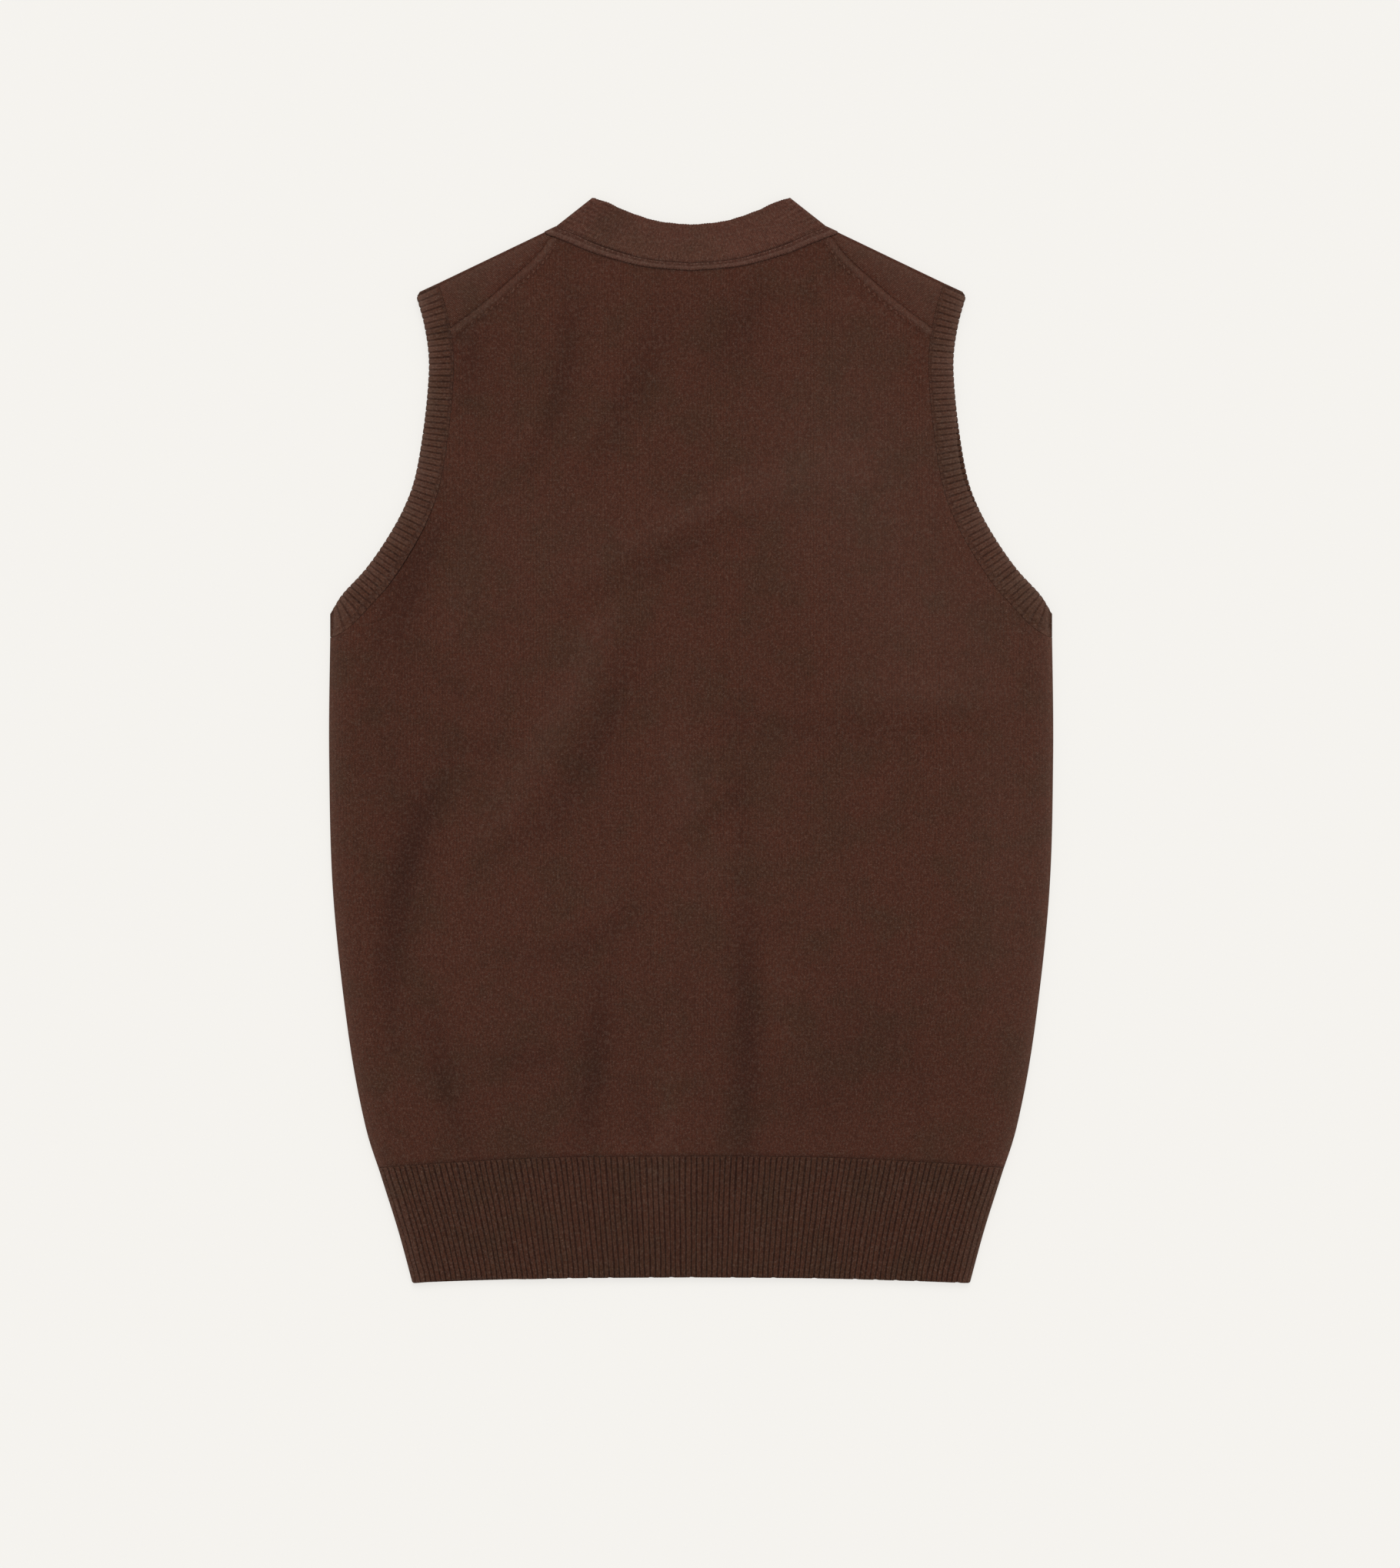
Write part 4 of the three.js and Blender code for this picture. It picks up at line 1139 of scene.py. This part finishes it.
band_wool = wool(
    "band_wool", linear((79, 49, 37)), linear((67, 48, 34)), linear((142, 118, 106)), 0.22
)
for side in ("left", "right"):
    piece = armhole_band(f"armhole_band_{side}_knit", side)
    finished(piece, band_wool)
    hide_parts(f"armhole_band_{side}")


# Neckband: a plain band, knitted on round the neck and standing up from its linked edge. It folds
# at the sides of the neck and runs down the front's V.
NECK_SEAM_OUT = 58
NECK_PEAK_OUT = 52
NECK_PEAK_ROUND = 0.9
NECK_TURNS = np.linspace(0, 180, 11)[1:-1]
NECK_RIPPLE = {"at": 84, "spread": 26, "rise": 0.2, "shade": 0.55}
NECK_BEAD = 0.24


def neck_ring(name, inner, outer, back_columns, front_columns, rows, free=None):
    """A band of the neck between two edges, as the tables name them.

    rows(length, width) gives the rows' shares of the width, their rises, their shifts and their
    painted shade, from the lengths along the back or front and the widths of the band there.
    """
    def section(columns, t):
        at = along(columns, t)
        from_x, from_y = at[inner + "_x"], at[inner + "_y"]
        run_x, run_y = at[outer + "_x"] - from_x, at[outer + "_y"] - from_y
        return from_x, from_y, run_x, run_y, np.hypot(run_x, run_y)

    def layer(columns, count, start):
        edge = {"x": columns[outer + "_x"], "y": columns[outer + "_y"]}
        t = even_steps(lambda t: along(edge, t), np.arange(count + 1) / count)
        from_x, from_y, run_x, run_y, width = section(columns, t)
        at_x, at_y = from_x + run_x / 2, from_y + run_y / 2
        length = start + np.append(0, np.cumsum(np.hypot(np.diff(at_x), np.diff(at_y))))
        share, rise, shift, hollow = rows(length, width)
        share = SEAM / 2 / width + share * (1 - SEAM / width) + shift / width
        return from_x + run_x * share, from_y + run_y * share, length, rise, hollow, width * share

    x, y, length, rise, hollow, across = layer(NECK_BACK, back_columns, 0)
    back = back_cloth(x, y, rise, length / WALE, across / COURSE, hollow)
    middle = length[-1] + math.pi * FOLD_OUT / 2
    outs = {"edge": SHOULDER_OUT, "seam": NECK_SEAM_OUT, "free": NECK_PEAK_OUT}
    share = (across[:, -1:] - across[0, -1]) / (across[-1, -1] - across[0, -1])
    out = np.radians(blended(outs[inner], outs[outer], share))
    round_end = NECK_PEAK_ROUND * (share > 0.99) * (outer == "free")
    from_x, from_y, run_x, run_y, width = section(NECK_BACK, np.array(1.0))
    inwards = round_end * np.sin(np.radians(NECK_TURNS)) / width
    fold = folded_cloth(
        x[:, -1:] - run_x * inwards, y[:, -1:] - run_y * inwards, np.cos(out), np.sin(out),
        NECK_TURNS, (length[-1] + np.radians(NECK_TURNS) * FOLD_OUT) / WALE,
        across[:, -1:] / COURSE, hollow=hollow[:, -1:],
    )
    fade = np.cos(np.radians(NECK_TURNS))
    fold[..., 2] += rise[:, -1:] * np.clip(fade, 0, 1)
    x, y, length, rise, hollow, across = layer(NECK_FRONT, front_columns, middle * 2 - length[-1])
    front = front_cloth(x, y, 0, length / WALE, across / COURSE, hollow)
    half = np.concatenate((back, fold, front), axis=1)
    return cloth_piece(name, [half, mirrored(half)], coarse=(3, 6), free=free)


def band_rows(length, width):
    share = np.linspace(0, 1, 19)[:, None] + 0 * length
    beside_fold = np.exp(-((length - NECK_RIPPLE["at"]) / NECK_RIPPLE["spread"]) ** 2)
    ripple = beside_fold * np.sin(share * width / COURSE * math.pi + length / 9)
    edge = np.cos(length / WALE * 2 * math.pi) * NECK_BEAD * (share == 1)
    # Painted shade along the seam edge, and painted light and shade over the ripple beside the fold.
    hollow = smoothstep(share, 0.09, 0) * 0.5 - ripple * NECK_RIPPLE["shade"]
    return share, ripple * NECK_RIPPLE["rise"], edge, hollow


neckband_wool = wool(
    "neckband_wool", linear((89, 54, 43)), linear((78, 55, 41)), linear((150, 126, 114)), 0.16
)
piece = neck_ring("neckband_knit", "seam", "free", 260, 560, band_rows, free="last")
finished(piece, neckband_wool)
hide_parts("neckband")


# Neck trim: the raised linked edge that joins the neckband to the body. Link stitches dot its upper
# line, and its lower edge is a row of small beads.
LINK_STEP = 3.8
LINK_PLACE = 0.87
# Its rows, from the lower edge to the seam: shares of its width, rises and painted shade, with painted
# shadow along both edges and two fine lines, and painted light over its lower half.
TRIM = table("share rise hollow", [
    (0, 0.05, 0.35),
    (0.06, 0.5, 0.1),
    (0.16, 0.8, -0.3),
    (0.28, 0.62, -0.4),
    (0.4, 0.7, -0.9),
    (0.54, 0.7, -0.8),
    (0.62, 0.46, 0.4),
    (0.7, 0.66, 0),
    (0.78, 0.52, 0.3),
    (0.87, 0.7, 0),
    (0.95, 0.5, 0),
    (1, 0, 0.45),
])


def trim_rows(length, width):
    share, rise, hollow = (TRIM[name][:, None] + 0 * length for name in ("share", "rise", "hollow"))
    uneven = 0.65 + 0.35 * np.sin(length / 7.3) * np.sin(length / 4.1 + 1)
    bead = np.cos(length / WALE * 2 * math.pi) * uneven
    low = (share < 0.3) * (1 - share / 0.3)
    link = np.clip(np.cos(length / LINK_STEP * 2 * math.pi), 0, 1) ** 4 * uneven
    link = link * np.exp(-((share - LINK_PLACE) / 0.06) ** 2)
    rise = rise + 0.2 * bead * low * (rise > 0.1) + 0.3 * link
    # Painted highlights on the beads and on the link stitches.
    hollow = hollow - 0.7 * bead * low * (share > 0) - 5 * link
    return share, rise, -0.08 * (1 + bead) * low, hollow


trim_wool = wool(
    "trim_wool", linear((84, 51, 41)), linear((74, 52, 39)), linear((146, 122, 110)), 0.16
)
piece = neck_ring("neck_trim_knit", "edge", "seam", 330, 900, trim_rows)
finished(piece, trim_wool)
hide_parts("neck_trim")


# Surface, light and camera: a pale matt surface seen from straight above, in soft daylight that
# comes mostly from the neck end.
FLOOR_SIDE = 60
FLOOR_GLOW = 0.8
VIEW_MIDDLE = (5.75, -28.75)
VIEW_LENGTH = 1019
LENS = 85
SENSOR = 36
CLOTH_TOP = 4
DAYLIGHT = 0.64
WINDOW = {"strength": 1.5, "softness": 35, "turn": (-42, 6, 0)}

floor_mesh = bpy.data.meshes.new("floor")
corners = [(-1, -1), (1, -1), (1, 1), (-1, 1)]
floor_corners = [(x * FLOOR_SIDE / 2, y * FLOOR_SIDE / 2, 0) for x, y in corners]
floor_mesh.from_pydata(floor_corners, [], [(0, 1, 2, 3)])
floor = placed("floor", floor_mesh)
floor.location.z = -0.2 * MM
paper = Finish("pale_surface")
at = Grain(paper, paper.add("ShaderNodeTexCoord").outputs["Object"])
grain = paper.noise(at, 900, 2)
pale = paper.blend(grain, linear((244, 242, 238)), linear((246, 244, 240)))
floor_mesh.materials.append(paper.surface({
    "Base Color": paper.blend(FLOOR_GLOW, pale, (0, 0, 0, 1)),
    "Emission Color": pale,
    "Emission Strength": FLOOR_GLOW,
    "Roughness": 0.9,
    "Specular IOR Level": 0.1,
}))

world = bpy.data.worlds.new("daylight")
bpy.context.scene.world = world
world.use_nodes = True
sky = world.node_tree.nodes["Background"].inputs
sky["Color"].default_value = (1, 0.99, 0.975, 1)
sky["Strength"].default_value = DAYLIGHT

sun_data = bpy.data.lights.new("window", "SUN")
sun_data.energy = WINDOW["strength"]
sun_data.angle = math.radians(WINDOW["softness"])
sun_data.color = (1, 0.99, 0.97)
sun = placed("window", sun_data)
sun.rotation_euler = [math.radians(angle) for angle in WINDOW["turn"]]

camera_data = bpy.data.cameras.new("camera")
camera_data.lens = LENS
camera_data.sensor_width = SENSOR
camera = placed("camera", camera_data)
distance = VIEW_LENGTH * LENS / SENSOR
camera.location = (VIEW_MIDDLE[0] * MM, VIEW_MIDDLE[1] * MM, (distance + CLOTH_TOP) * MM)
bpy.context.scene.camera = camera
bpy.context.scene.view_settings.view_transform = "Standard"
